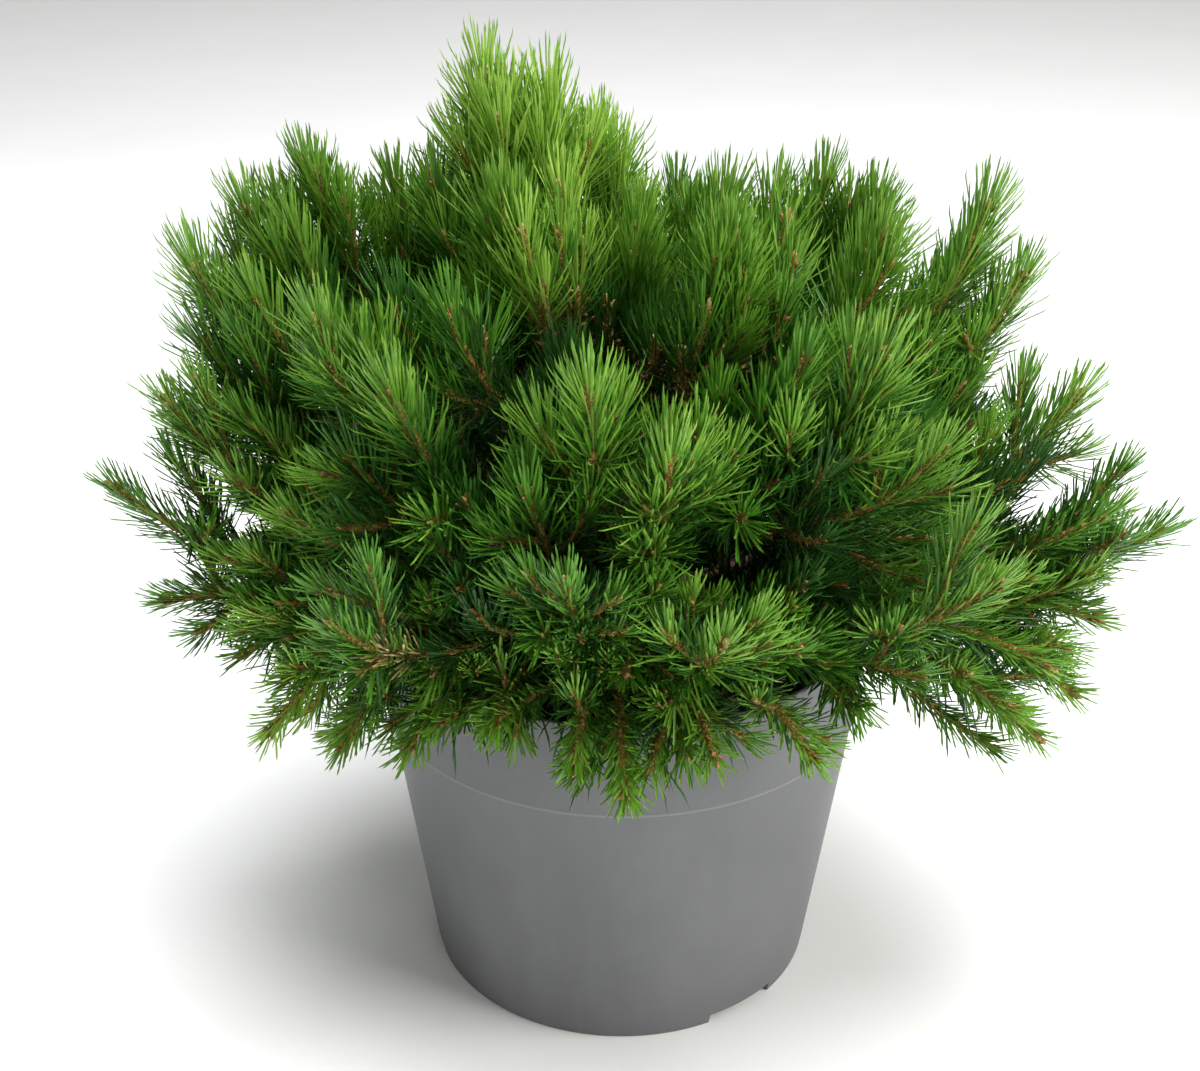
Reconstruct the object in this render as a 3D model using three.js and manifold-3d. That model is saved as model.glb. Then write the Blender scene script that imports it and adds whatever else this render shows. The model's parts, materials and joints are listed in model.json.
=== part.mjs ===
// A mugo pine in a ten-litre nursery pot, in millimetres, +Z up.
// The origin is the middle of the pot's underside. +X is the plant's right and -Y its front.
//
// The plant is built the way it grows. A short trunk stands in the soil, one bough runs from it to each
// mass of foliage, and each mass is a stem whose twigs end in shoots set round with needles. The shoots
// are spread evenly over the crown by a golden spiral. They follow lines of growth that leave the crown's
// centre and bend up as they go out, and each belongs to the mass whose own line is nearest, so every mass
// keeps to a space of its own.
import * as THREE from "three";
import { mergeVertices } from "three/addons/utils/BufferGeometryUtils.js";
import Module from "manifold-3d";

const wasm = await Module();
wasm.setup();

// ---- Driving dimensions ----

const POT = {
  height: 225,
  rimRadius: 140,
  collarHeight: 168, // where the plain wall steps out into the collar
  collarRadius: 137.4,
  collarStep: 1.3,
  baseRadius: 113,
  wall: 2,
  rimRound: 1.1,
  floor: 2.5, // thickness of the base plate
  channelRise: 6.5, // the drainage channel's roof above the ground
  channelInner: 84,
  channelOuter: 104,
  channelSlope: 2,
  notches: 3,
  notchBearing: -52, // the first notch in the foot ring, counted from +X towards +Y
  notchSpan: 23, // degrees of the foot ring that a notch takes
  drains: 6,
  drainRadius: 5,
  segments: 36,
};
const SOIL = { top: 200, crown: 3, gap: 0.3 };
const TRUNK = {
  top: 284,
  footRadius: 17,
  radius: 12.5,
  tipRadius: 8.5,
  flare: 16, // how high the root flare runs up
  lean: 6,
  sides: 10,
  rings: [0, 3, 8, 16, 30, 46, 64, 80], // heights over the soil
};
const BOUGH = {
  rootRadius: 3.9,
  tipRadius: 3.2,
  sides: 4,
  steps: 4,
  lowest: 218, // where on the trunk the boughs of the skirt and of the top leave it
  highest: 267,
  stagger: 3, // neighbours leave the trunk this much above and below that
  flattest: 8, // degrees above the level at which they leave
  steepest: 42,
  skirtRise: -13, // degrees: the rise at which a mass's bough is lowest and flattest
  steepestRise: 60, // and the rises at which it is steepest and highest
  topRise: 70,
  bend: 0.45, // how far out of its length a bough keeps to that
};
const CROWN = {
  centre: new THREE.Vector3(0, 0, 262), // what every bearing, rise and reach is counted from
  spiralTips: 162,
  topBias: 1.25, // over 1, the shoots stand closer towards the top
  lowestRise: -15,
  nearestTips: 9, // degrees: a spiral tip closer than this to a leading tip is left out
  bend: 0.0015, // how a level line of growth bends up, and how much more a rising one does
  bendMore: 0.0052,
  boughShare: 0.36, // of its reach, where a mass takes over from its bough
  shootShare: 0.33, // of its reach, how long a shoot is
  riseSpread: 9, // degrees: how far a spiral tip may be off its place
  bearingSpread: 12,
  roughness: 42, // how far the shoots' reach varies, and which share of that stands out rather than back
  standingOut: 0.3,
  gather: 0.18, // how far a mass's shoots lean together, so that gaps open between the masses
  edgeDrop: 32, // how far a mass falls back from its leading tips to its edge
  blend: 150, // the higher, the more a place's reach is that of the leading tip next to it
};
const SHOOT = {
  stemRadius: 3,
  twigRadius: 2.5,
  twigFootRadius: 2.2,
  coreRadius: 3.9,
  tipRadius: 2.6,
  bands: 3,
  sides: 3,
  budLength: 7,
  needle: 45,
  needleVaries: 0.2, // the share by which the longest needles are longer than the shortest
  needleParts: [1, 0.75, 0.55], // the shares of its length that a needle without room is tried at
  baseAngle: 48, // degrees from the shoot's line, at its foot and at its bud
  budAngle: 20,
  twist: 47, // degrees from one ring of the core to the next
  firstTwig: 0.22, // where twigs leave the stem, as shares of it
  twigSpacing: 0.2,
  twigPlaces: 4,
  sag: 0.12, // how far a twig bends back from the straight way, as a share of it
  pastBough: 5, // how far past its bough's tip every shoot's foot is
  lengths: [1, 0.8, 0.65, 0.5, 0.4], // the shares of its length that a shoot without room is tried at
};
const CLEAR = {
  space: 1, // from a needle's tip to the next mass's space
  core: 5.5, // from a shoot's line to the next mass's space
  pot: 2,
  rim: 14, // from the pot's rim to the shoots that hang over it
  lift: 2, // the steps in which a shoot that would touch the rim is raised, and how many there can be
  lifts: 10,
  end: 0.3, // between touching ends
};

// Every mass by name, with its leading shoots: bearing and rise in degrees, and reach in millimetres.
// Bearings are counted from +X towards +Y, and the reach is to the tips of the needles.
const MASSES = {
  leader: [[152, 72, 293], [132, 76, 275]],
  crown_left: [[-162, 72, 238]],
  crown_front: [[-48, 68, 232]],
  crown_back: [[102, 73, 246], [52, 63, 226], [66, 84, 204]],
  shoulder_left: [[166, 50, 293], [175, 44, 299], [-179, 37, 303]],
  shoulder_back_left: [[135, 44, 256], [151, 53, 260]],
  shoulder_back: [[78, 46, 248]],
  shoulder_back_right: [[37, 53, 258], [27, 49, 260], [46, 55, 238]],
  shoulder_right: [[12, 43, 297], [7, 35, 284], [8, 52, 248]],
  shoulder_front_right: [[-46, 44, 258]],
  shoulder_front: [[-96, 44, 256], [-84, 37, 240], [-106, 33, 222]],
  shoulder_front_left: [[-145, 44, 268]],
  side_left: [[-172, 11, 296], [-172, 23, 279], [-175, 31, 279]],
  side_back_left: [[140, 16, 278]],
  side_back: [[95, 16, 272]],
  side_back_right: [[50, 16, 280]],
  side_right: [[-5, 4, 312], [1, 20, 282], [-12, -4, 278], [-1, 28, 222]],
  side_front_right: [[-42, 14, 262], [-46, 0, 222], [-62, -10, 211]],
  side_front: [[-78, 14, 233], [-98, 22, 237]],
  side_front_left: [[-127, 12, 250]],
  skirt_left: [[-168, -2, 268], [-155, -17, 236], [-163, 6, 236]],
  skirt_front_left: [[-141, -16, 212], [-127, -13, 202]],
  skirt_front: [[-112, -7, 190], [-98, -9, 196], [-90, -12, 208], [-77, -8, 203]],
  skirt_front_right: [[-16, -12, 274], [-24, -15, 262]],
  skirt_right: [[24, -10, 266]],
  skirt_back_right: [[68, -10, 258]],
  skirt_back: [[112, -10, 256]],
  skirt_back_left: [[157, -10, 262]],
};

const COLOURS = {
  pot: 0x6f7072,
  soil: 0x2e2119,
  bark: 0x6b4a30,
  needles: [0x4d8a2c, 0x417d2b, 0x5b9433, 0x38702a],
};

// ---- Small helpers ----

const UP = new THREE.Vector3(0, 0, 1);
const GOLDEN_ANGLE = 180 * (3 - Math.sqrt(5));
const radians = THREE.MathUtils.degToRad;
const mix = THREE.MathUtils.lerp;
const share = (value, from, to) => THREE.MathUtils.clamp((value - from) / (to - from), 0, 1);

// A repeatable number from 0 to 1 for thing k, and another for each use that is made of it.
function chance(k, use) {
  const s = Math.sin(k * 12.9898 + use * 78.233 + 3.7) * 43758.5453;
  return s - Math.floor(s);
}

function towards(bearing, rise) {
  const flat = Math.cos(radians(rise));
  return new THREE.Vector3(
    flat * Math.cos(radians(bearing)),
    flat * Math.sin(radians(bearing)),
    Math.sin(radians(rise)),
  );
}

const angleBetween = (a, b) => THREE.MathUtils.radToDeg(a.angleTo(b));

function pointOn(from, direction, distance) {
  return from.clone().addScaledVector(direction, distance);
}

// A closed geometry as a solid, and a solid as a geometry.
function solidOf(geometry) {
  const bare = geometry.clone();
  bare.deleteAttribute("normal");
  bare.deleteAttribute("uv");
  const merged = mergeVertices(bare, 1e-3);
  return new wasm.Manifold(
    new wasm.Mesh({
      numProp: 3,
      vertProperties: merged.attributes.position.array,
      triVerts: new Uint32Array(merged.index.array),
    }),
  );
}

function geometryOf(solid) {
  const mesh = solid.getMesh();
  const geometry = new THREE.BufferGeometry();
  geometry.setAttribute("position", new THREE.BufferAttribute(mesh.vertProperties, 3));
  geometry.setIndex(new THREE.BufferAttribute(mesh.triVerts, 1));
  geometry.computeVertexNormals();
  return geometry;
}

// The largest body of a solid, without any loose scrap or sealed hollow.
function largest(solid) {
  return solid.decompose().reduce((best, piece) => (piece.volume() > best.volume() ? piece : best));
}

// ---- Limbs: tapering tubes, on which faces can be drawn out into needles ----

// Rings of points round a line, each turned on from the last, with the frame carried along without twisting.
function ringsAlong(line, radii, sides, twist = 0) {
  const rings = [];
  let side = null;
  line.forEach((centre, i) => {
    const before = line[Math.max(i - 1, 0)];
    const after = line[Math.min(i + 1, line.length - 1)];
    const along = after.clone().sub(before).normalize();
    if (!side) side = Math.abs(along.z) > 0.9 ? new THREE.Vector3(1, 0, 0) : UP.clone();
    side.addScaledVector(along, -side.dot(along)).normalize();
    const across = along.clone().cross(side);
    const points = Array.from({ length: sides }, (_, j) => {
      const turn = radians((360 * j) / sides + twist * i);
      return centre
        .clone()
        .addScaledVector(side, radii[i] * Math.cos(turn))
        .addScaledVector(across, radii[i] * Math.sin(turn));
    });
    rings.push({ centre, along, points });
  });
  return rings;
}

// The closed skin over the rings: a flat end, the sides and a point. needleFor(face) may give the tip of a
// needle that the face is drawn out to.
function skinOver(rings, point, needleFor = () => null) {
  const triangles = [];
  const addFace = (a, b, c, ring) => {
    const needle = ring === null ? null : needleFor({ corners: [a, b, c], ring });
    if (needle) triangles.push([a, b, needle], [b, c, needle], [c, a, needle]);
    else triangles.push([a, b, c]);
  };
  const sides = rings[0].points.length;
  for (let j = 1; j < sides - 1; j++) {
    addFace(rings[0].points[0], rings[0].points[j + 1], rings[0].points[j], null);
  }
  for (let i = 0; i < rings.length - 1; i++) {
    for (let j = 0; j < sides; j++) {
      const next = (j + 1) % sides;
      const [a, b] = [rings[i].points[j], rings[i].points[next]];
      const [c, d] = [rings[i + 1].points[next], rings[i + 1].points[j]];
      addFace(a, b, d, i);
      addFace(b, c, d, i);
    }
  }
  const last = rings.length - 1;
  for (let j = 0; j < sides; j++) {
    addFace(rings[last].points[j], rings[last].points[(j + 1) % sides], point, last);
  }
  const geometry = new THREE.BufferGeometry();
  geometry.setFromPoints(triangles.flat());
  return geometry;
}

// ---- The pot and its soil ----

function lathe(profile, segments) {
  const points = profile.map(([r, z]) => new THREE.Vector2(r, z));
  return new THREE.LatheGeometry(points, segments).rotateX(Math.PI / 2);
}

// The radius of the outer wall at a height.
function potRadius(z) {
  const { baseRadius, collarRadius, collarStep, collarHeight, rimRadius, height } = POT;
  if (z < collarHeight) return mix(baseRadius, collarRadius - collarStep, z / collarHeight);
  return mix(collarRadius, rimRadius, (z - collarHeight) / (height - collarHeight));
}

// The inner floor's height at a radius: it steps up over the drainage channel.
const innerFloor = (r) => (r < POT.channelInner ? POT.floor : POT.channelRise + POT.floor);

function potGeometry() {
  const p = POT;
  const step = p.collarStep;
  const rim = p.rimRadius;
  const raised = innerFloor(p.channelOuter);
  const profile = [
    [0, 0],
    [p.channelInner, 0],
    [p.channelInner + p.channelSlope, p.channelRise],
    [p.channelOuter, p.channelRise],
    [p.channelOuter + p.channelSlope, 0],
    [p.baseRadius - step, 0],
    [potRadius(step), step],
    [potRadius(p.collarHeight - step), p.collarHeight - step],
    [p.collarRadius, p.collarHeight + step / 2],
    [rim, p.height - p.rimRound],
    [rim - p.rimRound, p.height],
    [rim - p.rimRound - p.wall / 2, p.height],
    [rim - p.wall - p.rimRound / 2, p.height - p.rimRound],
    [p.collarRadius - step - p.wall, p.collarHeight],
    [potRadius(raised) - p.wall, raised],
    [p.channelInner - p.floor / 2, raised],
    [p.channelInner - p.floor, p.floor],
    [0, p.floor],
  ];
  let solid = solidOf(lathe(profile, p.segments));

  // Notches let the channel drain through the foot ring.
  const footMiddle = (p.channelOuter + p.baseRadius) / 2;
  const notchWidth = 2 * p.baseRadius * Math.sin(radians(p.notchSpan / 2));
  for (let i = 0; i < p.notches; i++) {
    const notch = new THREE.BoxGeometry(2 * (p.baseRadius - footMiddle) + 8, notchWidth, 2 * p.channelRise);
    notch.translate(footMiddle + 1, 0, 0);
    notch.rotateZ(radians(p.notchBearing + (360 * i) / p.notches));
    solid = solid.subtract(solidOf(notch));
  }
  for (let i = 0; i < p.drains; i++) {
    const drain = new THREE.CylinderGeometry(p.drainRadius, p.drainRadius, 4 * p.floor, 8);
    drain.rotateX(Math.PI / 2);
    drain.translate((p.channelInner + p.channelOuter) / 2 + 1, 0, p.channelRise + p.floor);
    drain.rotateZ(radians(p.notchBearing + (360 * i) / p.drains));
    solid = solid.subtract(solidOf(drain));
  }
  return geometryOf(solid);
}

function soilGeometry() {
  const gap = SOIL.gap;
  const raised = innerFloor(POT.channelOuter) + gap;
  const innerWall = (z) => (potRadius(z) - POT.wall - gap) * Math.cos(Math.PI / POT.segments);
  const collar = POT.collarHeight;
  const lowerWall = innerWall(collar - POT.collarStep * 3);
  return lathe(
    [
      [0, POT.floor + gap],
      [POT.channelInner - POT.floor - 2 * gap, POT.floor + gap],
      [POT.channelInner - POT.floor / 2 - 2 * gap, raised],
      [innerWall(raised) - gap, raised],
      [lowerWall - gap, collar - POT.collarStep * 3],
      [lowerWall + gap, SOIL.top - SOIL.crown],
      [lowerWall * 0.6, SOIL.top - SOIL.crown * 0.4],
      [TRUNK.footRadius * 1.5, SOIL.top],
      [0, SOIL.top],
    ],
    POT.segments,
  );
}

// ---- The trunk ----

// The trunk leans a little towards the leader as it rises.
const leanBearing = MASSES.leader[0][0];
function trunkAxis(z) {
  const s = share(z, SOIL.top, TRUNK.top);
  return pointOn(new THREE.Vector3(0, 0, z), towards(leanBearing, 0), TRUNK.lean * s * s);
}

function trunkRadius(z) {
  const flare = 1 - share(z, SOIL.top, SOIL.top + TRUNK.flare);
  const plain = mix(TRUNK.radius, TRUNK.tipRadius, share(z, SOIL.top, TRUNK.top));
  return plain + (TRUNK.footRadius - TRUNK.radius) * flare * flare;
}

// The trunk's skin, or one a little way outside it that keeps the boughs clear.
function trunkGeometry(outside = 0) {
  const foot = SOIL.top + CLEAR.end;
  const heights = TRUNK.rings.map((h) => foot + h);
  const radii = heights.map((z) => trunkRadius(z) + outside / Math.cos(Math.PI / TRUNK.sides));
  const rings = ringsAlong(heights.map(trunkAxis), radii, TRUNK.sides);
  // The foot is cut flat, level with the ground.
  rings[0].points.forEach((p) => p.setZ(foot - outside));
  rings.at(-1).points.forEach((p) => p.setZ(p.z + outside));
  return skinOver(rings, trunkAxis(TRUNK.top + 2 * outside));
}

// ---- The crown's rule of growth ----

// A line of growth is straight in plain space and bends up in grown space. A point in grown space is
// where it really is, and in plain space it is counted from the crown's centre.
function grown(plain) {
  const away = Math.hypot(plain.x, plain.y);
  const height = plain.z * (1 + CROWN.bendMore * away) + CROWN.bend * away * away;
  return new THREE.Vector3(plain.x, plain.y, height).add(CROWN.centre);
}

function plainOf(point) {
  const from = point.clone().sub(CROWN.centre);
  const away = Math.hypot(from.x, from.y);
  return from.setZ((from.z - CROWN.bend * away * away) / (1 + CROWN.bendMore * away));
}

// The way that the line of growth through a point runs there.
function growthAt(point) {
  const plain = plainOf(point);
  return grown(plain.clone().multiplyScalar(1.01)).sub(point).normalize();
}

// Whether a point is clear of the pot.
function clearOfPot(point, margin = 0) {
  const beside = Math.hypot(point.x, point.y) > POT.rimRadius + CLEAR.pot + margin;
  return beside || point.z > POT.height + CLEAR.pot + margin;
}

// A point raised over the pot's rim where it is above the pot.
function overRim(point) {
  const above = Math.hypot(point.x, point.y) < POT.rimRadius + CLEAR.rim / 2;
  return above ? point.setZ(Math.max(point.z, POT.height + CLEAR.rim)) : point;
}

// A shoot from foot to bud. One that would touch the pot's rim comes from higher up.
function shootBetween(foot, bud) {
  const places = [0.3, 0.45, 0.6, 0.75];
  const clearAt = (t) => clearOfPot(foot.clone().lerp(bud, t), SHOOT.coreRadius);
  for (let i = 0; i < CLEAR.lifts && !places.every(clearAt); i++) foot.z += CLEAR.lift;
  const aim = bud.clone().sub(foot).normalize();
  return { foot, bud, aim, length: foot.distanceTo(bud) };
}

// A shoot for one place on the crown, whose foremost needles just reach it.
function shootAt(outward, reach) {
  const place = pointOn(CROWN.centre, outward, reach);
  const aim = growthAt(place);
  const bud = pointOn(place, aim, -SHOOT.needle * Math.cos(radians(SHOOT.budAngle)));
  return shootBetween(overRim(pointOn(bud, aim, -CROWN.shootShare * reach)), bud);
}

// The masses with their leading shoots. Each one's axis is the middle of its own space, in plain space.
const masses = Object.entries(MASSES).map(([name, tips]) => {
  const shoots = tips.map(([bearing, rise, reach]) => shootAt(towards(bearing, rise), reach));
  const axis = new THREE.Vector3();
  shoots.forEach((s) => axis.add(plainOf(s.bud).normalize()));
  return { name, reach: Math.max(...tips.map((t) => t[2])), axis: axis.normalize(), shoots };
});

const leadingTips = masses.flatMap((mass) =>
  MASSES[mass.name].map(([bearing, rise, reach]) => ({ outward: towards(bearing, rise), reach })),
);

// How far the crown reaches in a direction: a blend of the leading tips near it.
function crownReach(outward) {
  let total = 0;
  let weight = 0;
  for (const tip of leadingTips) {
    const near = Math.max(outward.dot(tip.outward), 0) ** CROWN.blend;
    total += near * tip.reach;
    weight += near;
  }
  return total / weight;
}

// How far a point is inside a mass's own space.
function depthInside(mass, point) {
  const plain = plainOf(point);
  let depth = Infinity;
  for (const other of masses) {
    if (other === mass) continue;
    const across = mass.axis.clone().sub(other.axis);
    depth = Math.min(depth, across.dot(plain) / across.length());
  }
  return depth;
}

const nearestMass = (point) => {
  const plain = plainOf(point);
  return masses.reduce((best, mass) => (mass.axis.dot(plain) > best.axis.dot(plain) ? mass : best));
};

// A point drawn towards its mass's axis until it is well inside the mass's space.
function drawnIn(mass, point) {
  const onAxis = grown(mass.axis.clone().multiplyScalar(plainOf(point).length()));
  const moved = point.clone();
  for (let pull = 0.1; pull <= 1 && depthInside(mass, moved) < CLEAR.core; pull += 0.1) {
    moved.lerpVectors(point, onAxis, pull);
  }
  return moved;
}

// A shoot gathered towards its mass's axis, drawn into its space and shortened as far as it has to be.
function shootWithin(mass, shoot) {
  const onAxis = grown(mass.axis.clone().multiplyScalar(plainOf(shoot.bud).length()));
  const bud = drawnIn(mass, shoot.bud.clone().lerp(onAxis, CROWN.gather));
  for (const part of SHOOT.lengths) {
    const foot = overRim(drawnIn(mass, pointOn(shoot.bud, shoot.aim, -shoot.length * part)));
    const drawn = shootBetween(foot, bud);
    const pastBough = plainOf(drawn.foot).length() > CROWN.boughShare * mass.reach + SHOOT.pastBough;
    const roomy = depthInside(mass, drawn.foot) > SHOOT.coreRadius && clearOfPot(bud, SHOOT.coreRadius);
    if (pastBough && roomy) return drawn;
  }
  return null;
}

// The shoots between the leading ones, on a golden spiral from the crown's lower edge to its top.
function spreadShoots() {
  const lowest = Math.sin(radians(CROWN.lowestRise));
  for (let k = 0; k < CROWN.spiralTips; k++) {
    const height = 1 - (1 - lowest) * (1 - (k + 0.5) / CROWN.spiralTips) ** CROWN.topBias;
    const rise = THREE.MathUtils.radToDeg(Math.asin(height)) + CROWN.riseSpread * (chance(k, 1) - 0.5);
    const bearing = k * GOLDEN_ANGLE + CROWN.bearingSpread * (chance(k, 2) - 0.5);
    const outward = towards(bearing, rise);
    const gap = Math.min(...leadingTips.map((tip) => angleBetween(outward, tip.outward)));
    if (gap < CROWN.nearestTips) continue;
    const drop = CROWN.edgeDrop * share(gap, 0, 2 * CROWN.nearestTips);
    const reach = crownReach(outward) - drop - CROWN.roughness * (chance(k, 3) - CROWN.standingOut);
    const shoot = shootAt(outward, reach);
    const mass = nearestMass(shoot.bud);
    const kept = shootWithin(mass, shoot);
    if (kept) mass.shoots.push(kept);
  }
}
spreadShoots();

// ---- Boughs and masses as solids ----

// A point on a mass's own line of growth, by how far along it is.
const onLine = (mass, distance) => overRim(grown(mass.axis.clone().multiplyScalar(distance)));
const boughTip = (mass) => onLine(mass, CROWN.boughShare * mass.reach);
const lineAt = (mass, distance) => onLine(mass, distance + 2).sub(onLine(mass, distance - 2)).normalize();

// A bough leaves the trunk's side below its mass's height and bends out to the mass. This is its skin, or
// one a little way outside it that keeps other solids clear.
function boughSkin(mass, index, outside = 0) {
  const end = boughTip(mass);
  const onward = lineAt(mass, CROWN.boughShare * mass.reach);
  const rise = THREE.MathUtils.radToDeg(Math.atan2(end.z - CROWN.centre.z, Math.hypot(end.x, end.y)));
  const stagger = index % 2 ? BOUGH.stagger : -BOUGH.stagger;
  const level = mix(BOUGH.lowest, BOUGH.highest, share(rise, BOUGH.skirtRise, BOUGH.topRise)) + stagger;
  const tilt = mix(BOUGH.flattest, BOUGH.steepest, share(rise, BOUGH.skirtRise, BOUGH.steepestRise));
  const leaving = towards(THREE.MathUtils.radToDeg(Math.atan2(end.y, end.x)), tilt);
  const start = pointOn(trunkAxis(level), leaving, 0.5 * trunkRadius(level));
  if (mass.name === "leader") {
    // The leader carries the trunk on upwards.
    start.copy(trunkAxis(TRUNK.top - BOUGH.rootRadius));
    leaving.copy(UP);
  }
  const bend = pointOn(start, leaving, BOUGH.bend * start.distanceTo(end));
  const curve = new THREE.QuadraticBezierCurve3(start, bend, end);
  const line = curve.getPoints(BOUGH.steps);
  line.push(pointOn(end, onward, BOUGH.tipRadius));
  const radii = line.map((_, i) => outside + mix(BOUGH.rootRadius, BOUGH.tipRadius, share(i, 0, BOUGH.steps)));
  return skinOver(ringsAlong(line, radii, BOUGH.sides), pointOn(end, onward, BOUGH.tipRadius + CLEAR.end));
}

// A bough's root is cut to the trunk's shape, and where it grows against an earlier bough, to that one's.
function boughGeometry(mass, index) {
  const others = masses.slice(0, index).map((other, i) => solidOf(boughSkin(other, i, CLEAR.end)));
  const cutters = wasm.Manifold.union([solidOf(trunkGeometry(CLEAR.end)), ...others]);
  return geometryOf(largest(solidOf(boughSkin(mass, index)).subtract(cutters)));
}

// The needles of one shoot: every face of its core is drawn out to a needle, which is skipped where it
// would leave the mass's space, touch the pot or run into another shoot's needles.
function needleRule(mass, shoot, firstRing) {
  const others = mass.shoots.filter((s) => s !== shoot).map((s) => new THREE.Line3(s.foot, s.bud));
  const own = new THREE.Line3(shoot.foot, shoot.bud);
  const near = new THREE.Vector3();
  const distanceTo = (line, point) => line.closestPointToPoint(point, true, near).distanceTo(point);
  return ({ corners, ring }) => {
    if (ring < firstRing) return null;
    const root = corners[0].clone().add(corners[1]).add(corners[2]).divideScalar(3);
    const along = share(shoot.aim.dot(root.clone().sub(shoot.foot)), 0, shoot.length);
    const out = root.clone().sub(pointOn(shoot.foot, shoot.aim, along * shoot.length));
    out.addScaledVector(shoot.aim, -out.dot(shoot.aim)).normalize();
    const angle = radians(mix(SHOOT.baseAngle, SHOOT.budAngle, along));
    const aim = shoot.aim.clone().multiplyScalar(Math.cos(angle)).addScaledVector(out, Math.sin(angle));
    const k = root.x * 7 + root.y * 13 + root.z * 17;
    const full = SHOOT.needle * (1 + SHOOT.needleVaries * (chance(Math.round(k), 5) - 0.5));
    for (const part of SHOOT.needleParts) {
      const tip = pointOn(root, aim, full * part);
      const steps = [0.2, 0.4, 0.6, 0.8, 1];
      const clearAlong = (corner) => steps.every((t) => clearOfPot(corner.clone().lerp(tip, t)));
      const inSpace = depthInside(mass, tip) > CLEAR.space && corners.every(clearAlong);
      const nearestToOwn = (p) => others.every((line) => distanceTo(line, p) > distanceTo(own, p));
      if (inSpace && [tip, root.clone().lerp(tip, 0.7)].every(nearestToOwn)) return tip;
    }
    return null;
  };
}

// A twig from its stem to a shoot's foot, and the shoot's core, as one tube of rings.
function twigWithShoot(mass, shoot, line, radii) {
  const rings = line.length - 1;
  const points = [...line];
  const widths = [...radii];
  for (let i = 1; i <= SHOOT.bands; i++) {
    points.push(pointOn(shoot.foot, shoot.aim, (shoot.length * i) / SHOOT.bands));
    widths.push(mix(SHOOT.coreRadius, SHOOT.tipRadius, i / SHOOT.bands));
  }
  widths[rings] = SHOOT.coreRadius;
  const skin = ringsAlong(points, widths, SHOOT.sides, SHOOT.twist);
  const bud = pointOn(shoot.bud, shoot.aim, SHOOT.budLength);
  return solidOf(skinOver(skin, bud, needleRule(mass, shoot, rings)));
}

// A mass: its stem runs on from the bough into the first shoot, and a twig runs from the stem to each other.
// Twigs that grow back past their bough are cut clear of it.
function massSolid(mass, index) {
  const onward = lineAt(mass, CROWN.boughShare * mass.reach);
  const end = pointOn(boughTip(mass), onward, BOUGH.tipRadius + 2 * CLEAR.end);
  const start = pointOn(end, onward, SHOOT.stemRadius);
  const [first, ...others] = mass.shoots;
  const bend = pointOn(start, onward, 0.5 * start.distanceTo(first.foot));
  const stem = new THREE.QuadraticBezierCurve3(start, bend, first.foot);
  const line = [end, ...stem.getPoints(2)];
  const parts = [twigWithShoot(mass, first, line, line.map(() => SHOOT.stemRadius))];
  others.forEach((shoot, i) => {
    const node = stem.getPoint(SHOOT.firstTwig + SHOOT.twigSpacing * (i % SHOOT.twigPlaces));
    const turn = node.clone().lerp(shoot.foot, 0.5);
    turn.addScaledVector(shoot.aim, -SHOOT.sag * node.distanceTo(shoot.foot));
    const radii = [SHOOT.twigFootRadius, SHOOT.twigRadius, SHOOT.twigRadius];
    parts.push(twigWithShoot(mass, shoot, [node, overRim(turn), shoot.foot], radii));
  });
  const bough = solidOf(boughSkin(mass, index, CLEAR.end));
  return largest(wasm.Manifold.union(parts).subtract(bough));
}

// ---- The scene graph ----

function named(name, geometry, colour, roughness = 0.85) {
  const mesh = new THREE.Mesh(
    geometry,
    new THREE.MeshStandardMaterial({ color: colour, roughness, metalness: 0, flatShading: true }),
  );
  mesh.name = name;
  return mesh;
}

const pine = new THREE.Group();
const container = new THREE.Group();
container.add(named("pot", potGeometry(), COLOURS.pot, 0.55), named("soil", soilGeometry(), COLOURS.soil));
const wood = new THREE.Group();
wood.add(named("trunk", trunkGeometry(), COLOURS.bark));
const foliage = new THREE.Group();
masses.forEach((mass, i) => {
  wood.add(named("bough_" + mass.name, boughGeometry(mass, i), COLOURS.bark));
  const colour = COLOURS.needles[i % COLOURS.needles.length];
  foliage.add(named("foliage_" + mass.name, geometryOf(massSolid(mass, i)), colour));
});
pine.add(container, wood, foliage);

export default pine;
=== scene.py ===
# %% [markdown]
# # A mugo pine in its nursery pot
# A mugo pine is a low mountain pine. Each year a shoot ends in a cluster of buds, and the next year every
# bud grows into a shoot of its own, so the crown is a crowd of brushes that all turn up towards the light.
# The construction model already holds the pot, the trunk, one bough for each mass of foliage and a coarse
# version of each mass. This lesson keeps those sizes and grows the plant on by the same rule, down to the
# single needle. All sizes are in millimetres until a mesh is made.

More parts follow.
